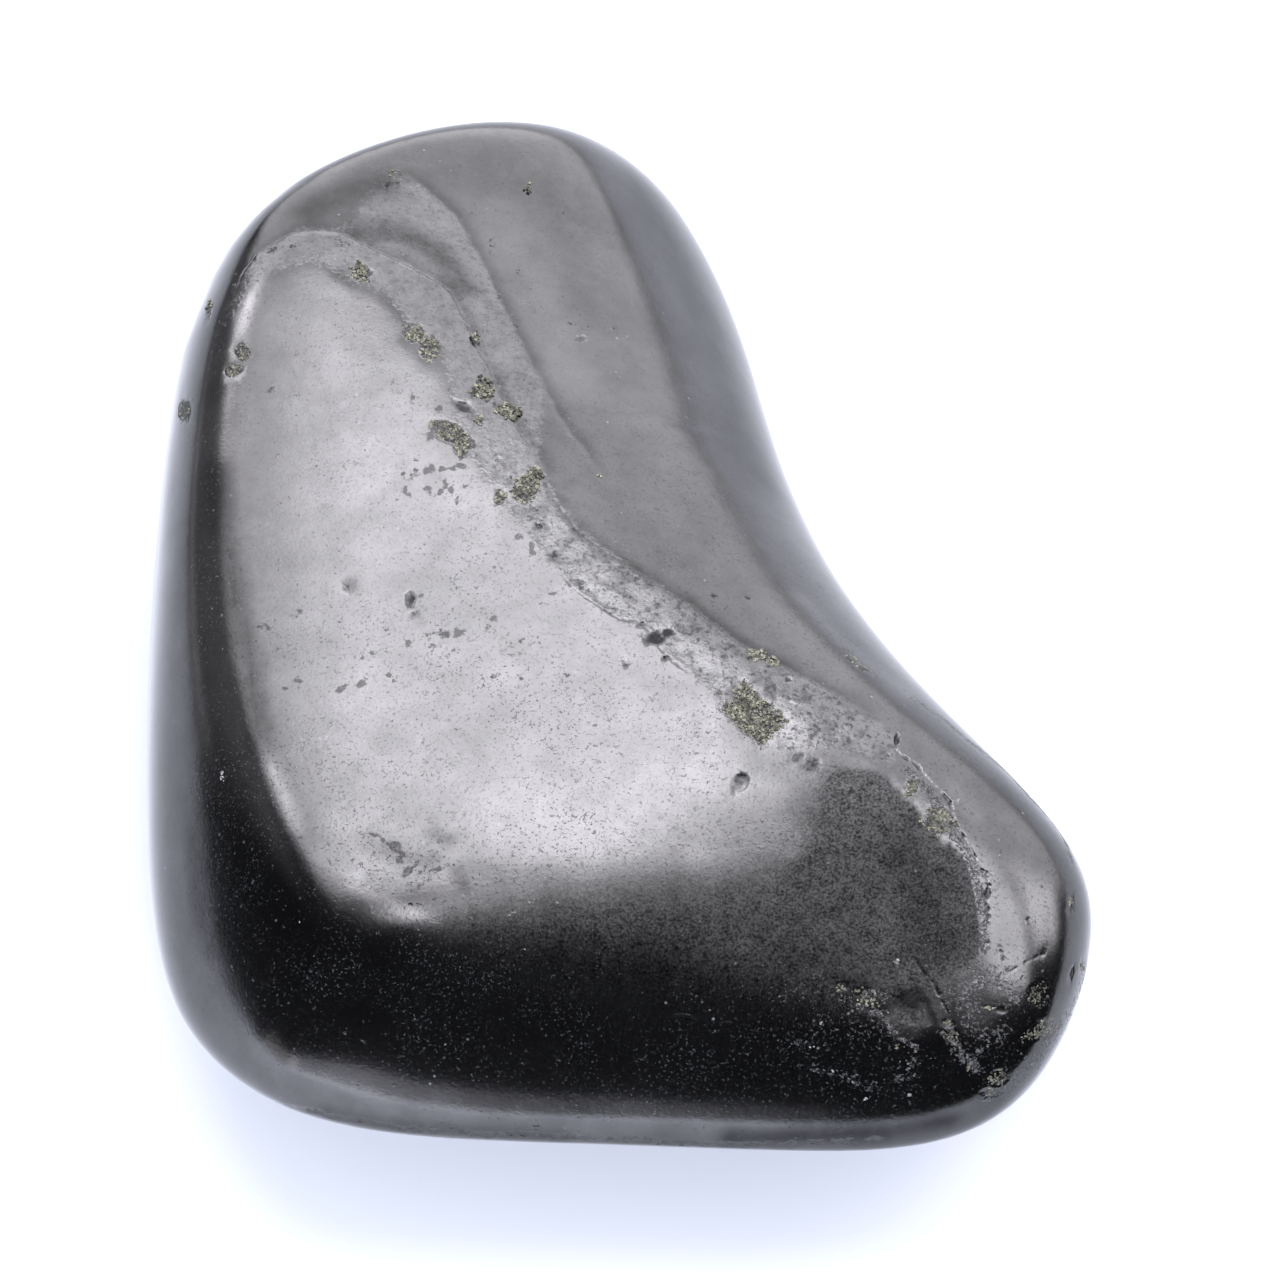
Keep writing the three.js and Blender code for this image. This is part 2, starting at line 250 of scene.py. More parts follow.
# Fine scratches in the polish: their pixels and how dark they are.
SCRATCHES = [
    ([(420, 739), (425, 749), (434, 757)], 0.5), ([(448, 817), (465, 816), (485, 819)], 0.4),
    ([(800, 757), (811, 757), (820, 763)], 0.5), ([(825, 765), (840, 768), (858, 767)], 0.5),
    ([(1003, 977), (1023, 964), (1048, 952)], 0.35),
]


# A hollow in the skin: its pixel, its sizes in mm, the turn of its length, how dark it is painted and how
# flat its floor is.
Pit = namedtuple("Pit", "x y length width depth turn dark flat", defaults=(0.0, 0.8, 0.0))
# A patch of grains, in pixels: how many they are, how large in mm, how much of the stone between them is of
# their kind too, and whether it is nearly square, as the cut through a crystal is.
Patch = namedtuple("Patch", "x y half_width half_height turn grains size bed square",
                   defaults=(0.14, 1.0, False))
# A soft dab of another colour, in pixels.
Dab = namedtuple("Dab", "x y half_width half_height strength turn square", defaults=(1.0, 0.0, False))


def rows(make, *numbers):
    return [make(*row) for row in numbers]


PITS = rows(
    Pit,
    (655, 638, 1.05, 0.8, 0.09, 25, 1.0), (668, 632, 0.75, 0.5, 0.06, 15, 1.0),
    (642, 624, 0.5, 0.3, 0.06, 30, 0.7), (740, 783, 0.95, 0.7, 0.05, 55, 0.55, 0.8),
    (464, 407, 1.1, 0.65, 0.08, -35, 0.75), (410, 599, 0.9, 0.5, 0.06, 85, 0.7),
    (414, 614, 0.26, 0.22, 0.05, 0, 0.6), (282, 440, 0.3, 0.26, 0.05, 0, 0.7),
    (583, 334, 0.8, 0.45, 0.07, 30, 0.5, 0.3), (555, 554, 0.4, 0.42, 0.07, 0, 0.75),
    (538, 526, 0.45, 0.35, 0.05, 0, 0.55), (626, 664, 0.32, 0.28, 0.05, 0, 0.7),
    (714, 595, 0.45, 0.3, 0.02), (748, 598, 0.4, 0.28, 0.02, 0, 0.75), (665, 658, 0.25, 0.25, 0.08),
    (726, 658, 0.2, 0.2, 0.07), (788, 679, 0.35, 0.35, 0.08), (1028, 921, 0.4, 0.3, 0.02, 60, 0.4),
    (1001, 952, 0.3, 0.25, 0.02, 0, 0.4), (897, 738, 0.8, 0.3, 0.1, 75, 0.7),
    (347, 587, 0.45, 0.25, 0.06, 30, 0.6), (301, 587, 0.4, 0.3, 0.06, 50, 0.6),
    (1072, 973, 0.35, 0.35, 0.1), (1001, 1010, 0.5, 0.3, 0.03, 0, 0.6), (370, 799, 0.25, 0.2, 0.05),
    (320, 905, 0.3, 0.2, 0.05),
)
# Shallow shell-shaped breaks at the dish's upper end, and the scoop broken out of the nose.
SHELLS = rows(
    Pit,
    (838, 778, 1.9, 1.2, 0.04, 10, 0.8, 0.3), (812, 766, 1.1, 0.9, 0.025, 40, 0.8, 0.3),
    (797, 757, 0.8, 0.6, 0.02, 40, 0.8, 0.3), (908, 1014, 2.3, 2.2, 0.08, 60, 0.8, 0.2),
    (985, 1008, 1.6, 0.7, 0.02, 0, 0.8, 0.3), (866, 1003, 1.4, 0.7, 0.03, -30, 0.8, 0.3),
)
# Pyrite, patch by patch.
PYRITE = rows(
    Patch,
    (753, 714, 28, 19, 43, 560, 0.11, 1.0, True), (757, 655, 9, 6, 10, 50), (772, 661, 9, 4, 25, 40),
    (938, 821, 15, 15, 20, 190, 0.12), (912, 787, 6, 10, 15, 70), (362, 271, 10, 9, 0, 70),
    (243, 352, 8, 9, -40, 55), (235, 370, 10, 6, -20, 50), (414, 333, 12, 10, 0, 80),
    (430, 348, 11, 12, 45, 80), (483, 388, 12, 11, 0, 80), (508, 410, 13, 8, 20, 70),
    (478, 419, 5, 5, 0, 22), (450, 432, 20, 11, 25, 140), (462, 447, 9, 9, 0, 45),
    (526, 488, 14, 12, -20, 120), (536, 474, 8, 8, 0, 45), (500, 496, 6, 8, 0, 35),
    (1071, 902, 3, 6, 0, 18), (1083, 968, 4, 6, 0, 16, 0.14, 0.4), (184, 410, 7, 12, 10, 40),
    (1038, 995, 10, 13, 10, 110, 0.07, 0.3), (1044, 1029, 17, 9, -25, 150, 0.07, 0.35),
    (1029, 1037, 8, 6, 0, 14, 0.1, 0.3), (997, 1078, 12, 9, -20, 95, 0.07, 0.3),
    (990, 1093, 7, 5, 0, 12, 0.1, 0.3), (947, 1023, 5, 3, 0, 16, 0.11, 0.3),
    (952, 1036, 8, 6, 40, 16, 0.1, 0.2), (989, 1008, 7, 1.5, 5, 12, 0.1, 0.3),
    (866, 993, 13, 6, 10, 20, 0.1, 0.2), (842, 986, 7, 5, 0, 12, 0.1, 0.3),
    (898, 1047, 3, 3, 0, 5, 0.1, 0.2), (970, 1066, 5, 5, 0, 8, 0.1, 0.2),
    (476, 336, 5, 6, 0, 16, 0.11, 0.6), (600, 475, 3, 4, 0, 5, 0.1, 0.6), (395, 172, 7, 3, 0, 10, 0.1, 0.4),
    (530, 186, 4, 5, 0, 6, 0.1, 0.5), (862, 667, 14, 2, 30, 12, 0.1, 0.6),
    (850, 657, 6, 2, 20, 6, 0.1, 0.6), (208, 310, 3, 10, 0, 12, 0.1, 0.6), (897, 962, 4, 3, 0, 5, 0.1, 0.3),
)
# Loose specks of pyrite on the nose, sunk in the skin.
SPECKS = rows(
    Patch,
    (930, 1060, 50, 12, 8, 20, 0.07), (860, 1000, 26, 8, 20, 26, 0.08), (1015, 1050, 30, 24, -40, 26, 0.08),
    (950, 1040, 6, 16, -30, 22, 0.08),
)
# Weathered pyrite, flush with the polish.
OLIVE_DABS = rows(
    Dab,
    (439, 409, 4, 4), (430, 436, 4, 6), (433, 428, 3, 4), (459, 450, 4, 5), (461, 457, 3, 4),
    (472, 444, 5, 5), (405, 490, 3, 6), (409, 495, 4, 2.5), (426, 471, 4, 4), (432, 469, 4, 4),
    (442, 469, 5, 3), (452, 468, 4, 2.5), (461, 466, 6, 3.5), (428, 489, 4.5, 4.5),
    (440, 492, 6, 3, 1.0, -30), (445, 484, 3, 5), (451, 490, 4, 4), (465, 486, 4, 2.5, 0.6),
    (457, 500, 2, 5, 1.0, 15), (499, 502, 4, 3), (519, 537, 5, 3.5), (532, 545, 3, 5), (533, 553, 4, 2.5),
    (477, 456, 3, 2, 0.6), (421, 596, 3.5, 7, 0.6), (450, 587, 2.5, 2.5, 0.8), (456, 587, 2.5, 2.5, 0.8),
    (459, 633, 8, 4.5, 1.0, -18), (433, 646, 3, 4), (408, 643, 4, 4), (454, 650, 3, 2, 1.0, -15),
    (494, 619, 5.5, 4), (488, 626, 4, 4), (553, 594, 4, 2), (543, 604, 5, 2, 0.7), (389, 675, 3, 3),
    (393, 681, 2.5, 2.5), (397, 677, 2, 2, 0.7), (595, 725, 4, 1.5, 1.0, -15), (582, 584, 6, 6, 0.7),
    (296, 354, 5, 4, 0.4), (273, 390, 7, 5, 0.5, -20), (412, 398, 3.5, 3), (466, 277, 6, 4, 0.4),
    (495, 240, 5, 14, 0.35, -10), (466, 236, 5, 9, 0.4, -10), (612, 234, 6, 7, 0.35),
    (342, 688, 8, 3, 1.0, -35), (362, 683, 7, 4, 1.0, -35), (298, 680, 6, 5, 0.8, -35),
    (285, 688, 4, 3, 0.6), (265, 628, 8, 6, 0.6), (300, 612, 3, 2.5), (327, 610, 3, 2), (342, 616, 2.5, 2),
    (372, 652, 6, 3, 0.7), (363, 658, 3, 2.5), (842, 987, 9, 6, 0.7), (588, 590, 3, 3, 0.7),
    (640, 635, 4, 3, 0.8, 30), (700, 640, 4, 3, 0.5, 30),
)
# Dark grey pits and scuffs that are filled flush.
GREY_DABS = rows(
    Dab,
    (404, 473, 3.5, 6, 0.7, 10), (413, 473, 5, 7, 0.8, 10), (417, 459, 2.5, 4, 0.5, 30),
    (464, 439, 6, 6, 0.5), (451, 424, 7, 4, 0.7, 35), (495, 403, 3.5, 4, 0.8), (510, 478, 3, 4, 0.8),
    (532, 478, 5, 3, 0.8), (527, 501, 6, 4, 0.6), (534, 512, 5, 5, 0.6), (540, 525, 7, 5, 0.8),
    (497, 457, 5, 7, 0.5), (426, 634, 3, 4, 0.6), (432, 634, 4, 4, 0.6), (444, 634, 7, 5, 0.9),
    (388, 630, 4, 3, 0.6), (386, 652, 4, 2.5, 0.5), (522, 640, 6, 2.5, 0.8, -35),
    (533, 644, 5, 2, 0.6, -25), (494, 677, 4, 3.5, 0.8, 30), (484, 682, 1.8, 6, 0.6, 10),
    (520, 679, 4, 3.5, 0.6), (566, 676, 4, 4, 0.6, 20), (476, 658, 3, 1.5, 0.8, -30),
    (562, 739, 3.5, 1.5, 0.8), (588, 644, 3, 2, 0.7), (457, 729, 5, 2, 0.6), (448, 706, 3, 3, 0.4),
    (287, 338, 6, 3, 0.5), (318, 370, 3.5, 3.5, 0.4), (299, 394, 4, 3, 0.4), (361, 322, 3, 2.5, 0.5),
    (382, 359, 4, 3, 0.5), (395, 381, 4, 3, 0.5), (374, 834, 7, 3, 0.85, 10), (362, 833, 6, 2.5, 0.7),
    (384, 841, 7, 3, 0.9, 45), (395, 848, 10, 6, 1.0, 20), (401, 858, 5, 8, 0.9, 10),
    (412, 854, 9, 3, 0.6, 20), (408, 871, 9, 4, 1.0, -45), (416, 864, 5, 2.5, 0.9, -60),
    (388, 860, 6, 2, 0.6, 60), (424, 883, 8, 3, 0.55, -20), (438, 869, 15, 4, 0.75, -20),
    (420, 886, 16, 3, 0.65, -30), (359, 826, 5, 2, 0.7, 20), (372, 852, 9, 2.5, 0.5, 50),
    (441, 838, 13, 9, 0.3, 30), (459, 879, 12, 7, 0.3, -20), (254, 258, 4, 4, 0.8),
    (272, 249, 8, 4, 0.8, -25), (293, 245, 5, 4, 0.7), (343, 238, 6, 4, 0.6), (610, 234, 7, 7, 0.25),
    (556, 236, 5, 8, 0.2, 20), (521, 262, 4, 7, 0.4, 15), (537, 275, 4, 6, 0.4, 25), (545, 300, 5, 4, 0.35),
    (520, 318, 5, 8, 0.5), (500, 290, 3, 5, 0.5), (598, 268, 6, 8, 0.25), (575, 320, 7, 3, 0.6, 10),
    (592, 322, 6, 3, 0.6), (620, 325, 7, 8, 0.4), (740, 735, 5, 4, 0.5), (800, 700, 9, 5, 0.5, 30),
    (830, 712, 8, 4, 0.5, 30), (812, 728, 8, 4, 0.5, 20), (848, 724, 6, 4, 0.5, 20),
    (868, 736, 6, 3, 0.6, 30), (800, 716, 5, 3, 0.5), (881, 742, 5, 3, 0.6, 30), (985, 951, 2.5, 6, 0.9),
    (1000, 946, 4, 2, 0.9, 10), (1002, 957, 4, 3, 0.9, 30), (1010, 968, 10, 2.5, 0.8, -35),
    (1028, 960, 9, 3, 0.6, -25), (983, 893, 3, 5, 0.8), (1028, 921, 5, 6, 0.6, 30), (1000, 853, 3, 2, 0.5),
    (1026, 870, 2, 2, 0.4), (990, 860, 2, 2, 0.5),
)
# Grains of a pale mineral.
PALE = rows(
    Patch,
    (827, 749, 4, 2, 45, 10, 0.12), (519, 909, 16, 1, -32, 16, 0.07), (222, 775, 2, 6, 0, 8, 0.11),
    (910, 1095, 2, 2, 0, 3, 0.12), (866, 1099, 2, 2, 0, 3, 0.1), (812, 1047, 2, 1, 0, 2, 0.1),
    (821, 1023, 1, 1, 0, 2, 0.09), (832, 1071, 2, 1, 0, 2, 0.09), (853, 1082, 1, 2, 0, 2, 0.09),
    (897, 962, 2, 2, 0, 3, 0.1), (415, 1019, 1, 1, 0, 2, 0.08), (445, 1044, 1, 1, 0, 2, 0.08),
    (525, 950, 1, 1, 0, 2, 0.08), (299, 923, 1, 1, 0, 2, 0.08),
)

# ---- the skin


def unit(vectors):
    return vectors / np.linalg.norm(vectors, axis=1, keepdims=True)


def pressure_terms(points):
    """How hard each facet pushes on each point, and the point's places on the facet's two axes."""
    along = points @ ALONG.T - AT[:, 0]
    down = points @ DOWN.T - AT[:, 1]
    height = points @ NORMAL.T - REACH + (LEVEL * along ** 2 + FALL * down ** 2) / 2
    return np.exp(height / EDGE), along, down


def skin_points(directions):
    """Where lines from the core leave the stone: the facets' pressures sum to 1 there."""
    near = np.zeros(len(directions))
    far = np.full(len(directions), LONGEST_REACH)
    for _ in range(HALVINGS):
        middle = (near + far) / 2
        inside = pressure_terms(directions * middle[:, None])[0].sum(axis=1) < 1
        near = np.where(inside, middle, near)
        far = np.where(inside, far, middle)
    return directions * near[:, None]


def skin_normals(points):
    terms, along, down = pressure_terms(points)
    weight = terms / EDGE
    return unit(weight @ NORMAL + (weight * LEVEL * along) @ ALONG + (weight * FALL * down) @ DOWN)


def on_upper_side(points):
    return skin_normals(points)[:, 2] > LEAST_SEEN_RISE


def read_corners(bm):
    return np.array([corner.co for corner in bm.verts])


def write_corners(bm, points):
    for corner, point in zip(bm.verts, points):
        corner.co = point


def even_ball(subdivisions=6):
    """A ball of even triangles, stretched so that they stay even on the flat stone."""
    bm = bmesh.new()
    bmesh.ops.create_icosphere(bm, subdivisions=subdivisions, radius=1.0)
    spread = np.array([HALF_WIDTH, HALF_LENGTH, CORE_HEIGHT])
    write_corners(bm, skin_points(unit(read_corners(bm) * spread)))
    return bm


def refine(bm, is_fine):
    """Halves the edges whose two ends are in the fine zone, and puts the new corners on the skin."""
    fine = is_fine(read_corners(bm))
    bm.verts.index_update()
    edges = [edge for edge in bm.edges if fine[edge.verts[0].index] and fine[edge.verts[1].index]]
    bmesh.ops.subdivide_edges(bm, edges=edges, cuts=1, use_grid_fill=True)
    bmesh.ops.triangulate(bm, faces=bm.faces[:])
    write_corners(bm, skin_points(unit(read_corners(bm))))


# ---- lines and places on the skin


def smooth_line(points, spacing):
    """A Catmull-Rom curve through points, as points about spacing apart."""
    points = np.array(points, float)
    padded = np.vstack([2 * points[0] - points[1], points, 2 * points[-1] - points[-2]])
    made = []
    for a, b, c, d in zip(padded, padded[1:], padded[2:], padded[3:]):
        steps = max(1, round(np.linalg.norm(c - b) / spacing))
        t = np.arange(steps)[:, None] / steps
        made.append(0.5 * (2 * b + (c - a) * t + (2 * a - 5 * b + 4 * c - d) * t ** 2
                           + (3 * b - a - 3 * c + d) * t ** 3))
    return np.vstack([*made, points[-1:]])


def line_distance(points, line, normals=None):
    """Each point's distance from a line, its side (+1 is left, seen from outside) and its share along it."""
    best = np.full(len(points), np.inf)
    side = np.ones(len(points))
    share = np.zeros(len(points))
    lengths = np.linalg.norm(np.diff(line, axis=0), axis=1)
    starts = np.concatenate([[0.0], np.cumsum(lengths)])
    for index, (a, b) in enumerate(zip(line, line[1:])):
        t = np.clip((points - a) @ (b - a) / max(lengths[index] ** 2, 1e-9), 0, 1)
        offset = points - a - t[:, None] * (b - a)
        distance = np.linalg.norm(offset, axis=1)
        nearer = distance < best
        best = np.where(nearer, distance, best)
        share = np.where(nearer, (starts[index] + t * lengths[index]) / starts[-1], share)
        if normals is not None:
            turn = np.einsum("ij,ij->i", np.cross(b - a, offset), normals)
            side = np.where(nearer, np.where(turn >= 0, 1.0, -1.0), side)
    return best, side, share


def inside_outline(pixels, outline):
    """How far inside a closed outline each pixel lies, in mm at the core; negative is outside."""
    closed = np.array([*outline, outline[0]], float)
    distance = line_distance(pixels, closed)[0]
    inside = np.zeros(len(pixels), bool)
    for (ax, ay), (bx, by) in zip(closed, closed[1:]):
        if ay == by:
            continue
        spans = (ay > pixels[:, 1]) != (by > pixels[:, 1])
        crossing = ax + (pixels[:, 1] - ay) / (by - ay) * (bx - ax)
        inside ^= spans & (pixels[:, 0] < crossing)
    return np.where(inside, distance, -distance) / PIXELS_PER_MM


def soft_step(value, low, high):
    """Rises smoothly from 0 at low to 1 at high."""
    t = np.clip((value - low) / (high - low), 0, 1)
    return t * t * (3 - 2 * t)


def end_fade(share, low, high):
    """Fades a line out towards both of its ends."""
    return soft_step(np.minimum(share, 1 - share), low, high)


def patch_share(pixels, spot):
    """0 at a patch's middle and 1 at its outline."""
    turn = math.radians(spot.turn)
    x, y = pixels[:, 0] - spot.x, pixels[:, 1] - spot.y
    u = (x * math.cos(turn) + y * math.sin(turn)) / spot.half_width
    v = (y * math.cos(turn) - x * math.sin(turn)) / spot.half_height
    return np.maximum(np.abs(u), np.abs(v)) if spot.square else np.hypot(u, v)


class Caster:
    """Casts the picture's pixels onto the skin."""

    def __init__(self, bm):
        bm.verts.index_update()
        self.tree = BVHTree.FromBMesh(bm)

    def point(self, x, y):
        hit = self.tree.ray_cast(Vector(EYE), Vector(pixel_ray(x, y)))[0]
        return None if hit is None else np.array(hit)

    def under(self, spot):
        return self.point(spot.x, spot.y)

    def line(self, pixels, spacing=6.0):
        """A smooth line through pixels, as points this many pixels apart."""
        hits = [self.point(x, y) for x, y in smooth_line(pixels, spacing)]
        return np.array([hit for hit in hits if hit is not None])


# ---- where the mesh is fine

HAIRLINE_SPACING = 3.0  # pixels between the points of a line that the finest mesh follows


def along_lines(caster, lines, reach, spacing=6.0):
    """Places along lines. A place is a point and how far the fine mesh reaches round it, in mm."""
    return [(point, reach) for line in lines for point in caster.line(line, spacing)]


def round_pits(caster, pits, share):
    return [(caster.under(spot), share * max(spot.length, spot.width)) for spot in pits]


def round_patches(caster, patches, share, margin):
    places = []
    for spot in patches:
        point = caster.under(spot)
        reach = share * max(spot.half_width, spot.half_height) / PIXELS_PER_MM + margin
        if point is not None:
            places.append((point, reach))
    return places


def detail_places(caster):
    """Where the skin needs a fine mesh."""
    worn = [place for line, half_width, _ in WORN[1:]
            for place in along_lines(caster, [line], half_width + 0.1)]
    return [
        *along_lines(caster, [PLATEAU_LEDGE, COLLAR_CRACK, CREST], 0.5),
        *along_lines(caster, [SCOOP_CRACK], 0.45),
        *along_lines(caster, [TERRACE_LEDGE, INNER_CREASE, FRONT_CHIPS], 0.4),
        *along_lines(caster, [line for line, _ in SCRATCHES], 0.25),
        *worn,
        *round_pits(caster, PITS + SHELLS, 0.7),
        *round_patches(caster, OLIVE_DABS + GREY_DABS, 1.2, 0.15),
        *round_patches(caster, PYRITE, 1.0, 0.15),
    ]


def hairline_places(caster):
    """Where the mesh is finest: along the cracks and scratches, in the pits and under the dabs."""
    cracks = [PLATEAU_LEDGE, COLLAR_CRACK, SCOOP_CRACK, INNER_CREASE, *CRACK_BRANCHES]
    return [
        *along_lines(caster, cracks, 0.2, HAIRLINE_SPACING),
        *along_lines(caster, [line for line, _ in SCRATCHES], 0.12, HAIRLINE_SPACING),
        *round_pits(caster, PITS, 0.55),
        *round_patches(caster, OLIVE_DABS + GREY_DABS, 1.2, 0.06),
    ]


def near_details(places, widening):
    """Tells which points lie within the places' reaches, widened by a factor."""
    centres = np.array([point for point, _ in places])
    reaches = np.array([reach for _, reach in places]) * widening

    def is_fine(points):
        fine = np.zeros(len(points), bool)
        for centre, reach in zip(centres, reaches):
            fine |= np.linalg.norm(points - centre, axis=1) < reach
        return fine

    return is_fine


# ---- relief: what is broken out of the skin

OUT_OF_VIEW = -1e4  # the pixel of a point on the far side
RECESS_REACH = 60  # pixels round a patch of pyrite within which its hollow lies


def roughness_field(points, size, octaves, seed, where=None):
    """Fractal noise of about -1 to 1, with lumps of this size in mm. Points outside where get 0."""
    made = np.zeros(len(points))
    chosen = range(len(points)) if where is None else np.nonzero(where)[0]
    shift = Vector((seed, 2.3 * seed, -1.7 * seed))
    for index in chosen:
        made[index] = noise.fractal(Vector(points[index]) / size + shift, 1.0, 2.0, octaves)
    return made


class Relief:
    """How far each corner of the mesh moves along its normal, in mm, and the marks that tell its finish and
    where shade and sheen are painted.
    """

    def __init__(self, points, caster, fine):
        self.points = points
        self.caster = caster
        self.fine = fine
        self.normals = skin_normals(points)
        self.height = np.zeros(len(points))
        self.marks = {"tone": np.zeros(len(points))}
        facing = np.einsum("ij,ij->i", self.normals, EYE - points) > 0
        self.pixels = np.where(facing[:, None], to_pixels(points), OUT_OF_VIEW)

    def rough(self, size, octaves, seed, where=None):
        return roughness_field(self.points, size, octaves, seed, where)

    def mark(self, name, value):
        """Keeps the larger of the marks made so far and this one."""
        self.marks[name] = np.maximum(self.marks.get(name, np.full(len(value), -1.0)), value)

    # Adds painted shade, or painted sheen where amount is below 0, to the colour.
    def shade(self, amount):
        self.marks["tone"] = self.marks["tone"] + amount

    def waves(self):
        """The faint unevenness that tumbling leaves."""
        self.height += 0.012 * self.rough(4.5, 2, 71.0)

    def ledge(self, pixels, drop, run_out, scarp, seed):
        """A scarp on the line's right that drops to its left, where it runs out to the skin."""
        distance, side, share = line_distance(self.points, self.caster.line(pixels), self.normals)
        near = distance < 1.2
        wobble = 0.12 * self.rough(0.9, 3, seed, near) * (1 - soft_step(distance, 0.4, 1.2))
        beside = distance * side + wobble
        fade = end_fade(share, 0.0, 0.12)
        low_side = np.clip(1 - beside / run_out, 0, 1) ** 2
        high_side = soft_step(beside, -scarp, 0.0)
        self.height -= drop * fade * np.where(beside > 0, low_side, high_side)
        broken = soft_step(self.rough(0.8, 3, seed + 9, near), -0.3, 0.3)
        # Painted shade: a dark line along the scarp, and a darker band beside it on its low side.
        self.mark("crevice_dark", 0.45 * fade * broken * np.clip(1 - np.abs(beside) / 0.12, 0, 1))
        self.shade(0.3 * fade * soft_step(beside, -0.1, 0.1) * (1 - soft_step(beside, 0.1, 0.7)))

    def crack(self, pixels, depth, half_width, seed, mark="crevice_dark", dark=1.0):
        """A line broken into the skin: ragged at its edges, open in some stretches and closed in others."""
        distance, _, share = line_distance(self.points, self.caster.line(pixels))
        near = distance < 4 * half_width + 0.6
        ragged = distance + 1.1 * half_width * self.rough(0.3, 3, seed, near)
        broken = soft_step(self.rough(0.45, 3, seed + 4, near), -0.4, 0.35)
        inside = end_fade(share, -0.02, 0.08) * np.clip(1 - ragged / half_width, 0, 1)
        self.height -= depth * inside ** 0.8 * (0.3 + 0.7 * broken)
        self.mark(mark, dark * broken * inside ** 0.5)

    def apron(self, pixels, slope, width, run_out):
        """Beyond the line the skin falls away for a width, and comes back to its old height at run_out."""
        distance, side, share = line_distance(self.points, self.caster.line(pixels), self.normals)
        beyond = np.where(side > 0, distance, 0.0)
        fade = soft_step(share, 0.0, 0.2) * (1 - soft_step(share, 0.4, 1.0))
        back = 1 - soft_step(beyond, width, run_out)
        self.height -= slope * fade * np.minimum(beyond, width) * back

    def seam(self):
        """The band of rough stone between the plateau's lip and the scarp."""
        inside = inside_outline(self.pixels, SEAM_RIM + PLATEAU_LIP[::-1])
        near = inside > -0.6
        ragged = inside + 0.14 * self.rough(0.7, 3, 41.0, near)
        lumps = self.rough(1.1, 3, 43.0, near)
        pitting = self.rough(0.3, 2, 47.0, near)
        lowered = -0.035 + 0.022 * lumps - 0.03 * np.clip(pitting - 0.25, 0, 1)
        self.height += soft_step(ragged, -0.1, 0.35) * lowered
        self.marks["seam"] = np.clip(ragged, -1, 1)

    def dish(self):
        """The hollow worn in the plateau's right end: crisp at the collar, fading out on the plateau."""
        x, y = self.pixels[:, 0], self.pixels[:, 1]
        inside = inside_outline(self.pixels, DISH)
        blur = np.maximum(soft_step(-x, -890, -760), 0.7 * soft_step(y, 950, 990))
        self.marks["dish"] = np.clip(inside / (0.06 + 1.9 * blur), -1, 1)
        crisp = soft_step(x, 850, 920) * (1 - soft_step(y, 955, 985))
        self.height -= 0.05 * crisp * soft_step(inside, -0.02, 0.2)

    def worn(self, pixels, half_width, strength, seed):
        """A line along which the polish is gone, more and more towards its middle."""
        distance = line_distance(self.points, self.caster.line(pixels))[0]
        near = distance < half_width + 0.8
        ragged = distance + 0.6 * half_width * self.rough(0.35, 3, seed, near)
        self.mark("worn", strength * (1 - soft_step(ragged, 0.0, 1.8 * half_width)))

    def tone(self, pixels, half_width, amount):
        """A soft stroke of painted shade, where the skin reflects less, or of painted sheen where amount is
        below 0.
        """
        distance = line_distance(self.points, self.caster.line(pixels))[0]
        self.shade(amount * (1 - soft_step(distance, 0.0, half_width)))

    def hollow(self, spot, seed, mark="crevice_dark"):
        """A pit: its edge is ragged, and its floor is flatter the larger spot's flat is."""
        centre = self.caster.under(spot)
        reach = max(spot.length, spot.width)
        offset = self.points - centre
        near = np.linalg.norm(offset, axis=1) < 1.2 * reach
        normal = skin_normals(centre[None])[0]
        turn = math.radians(spot.turn)
        lengthwise = np.cross(normal, [math.sin(turn), -math.cos(turn), 0.0])
        lengthwise /= np.linalg.norm(lengthwise)
        length_share = offset @ lengthwise / (spot.length / 2)
        width_share = offset @ np.cross(normal, lengthwise) / (spot.width / 2)
        raggedness = 0.26 - 0.2 * spot.flat
        radius = np.hypot(length_share, width_share) + raggedness * self.rough(0.3 * reach, 4, seed, near)
        bowl = (np.clip(1 - radius ** 2, 0, 1) * near) ** (1 - 0.6 * spot.flat)
        self.height -= spot.depth * bowl
        self.mark(mark, 2 * bowl - 1 if mark == "dish" else spot.dark * bowl ** 0.6)

    def recess(self, spot, depth, seed):
        """The hollow that a patch of pyrite lies in."""
        near = np.hypot(self.pixels[:, 0] - spot.x, self.pixels[:, 1] - spot.y) < RECESS_REACH
        share = patch_share(self.pixels, spot) + 0.2 * self.rough(0.5, 3, seed, near)
        self.height -= depth * soft_step(1.1 - share, 0.0, 0.25) * near
        self.mark("pyrite", spot.bed * soft_step(1.2 - share, 0.0, 0.5) * near)

    def dabs(self, name, spots, seed):
        """Soft dabs of colour. The material frays them."""
        ragged = 0.3 * self.rough(0.25, 2, seed, self.fine)
        for spot in spots:
            share = patch_share(self.pixels, spot) + ragged
            self.mark(name, spot.strength * soft_step(1.5 - share, 0.0, 1.1))


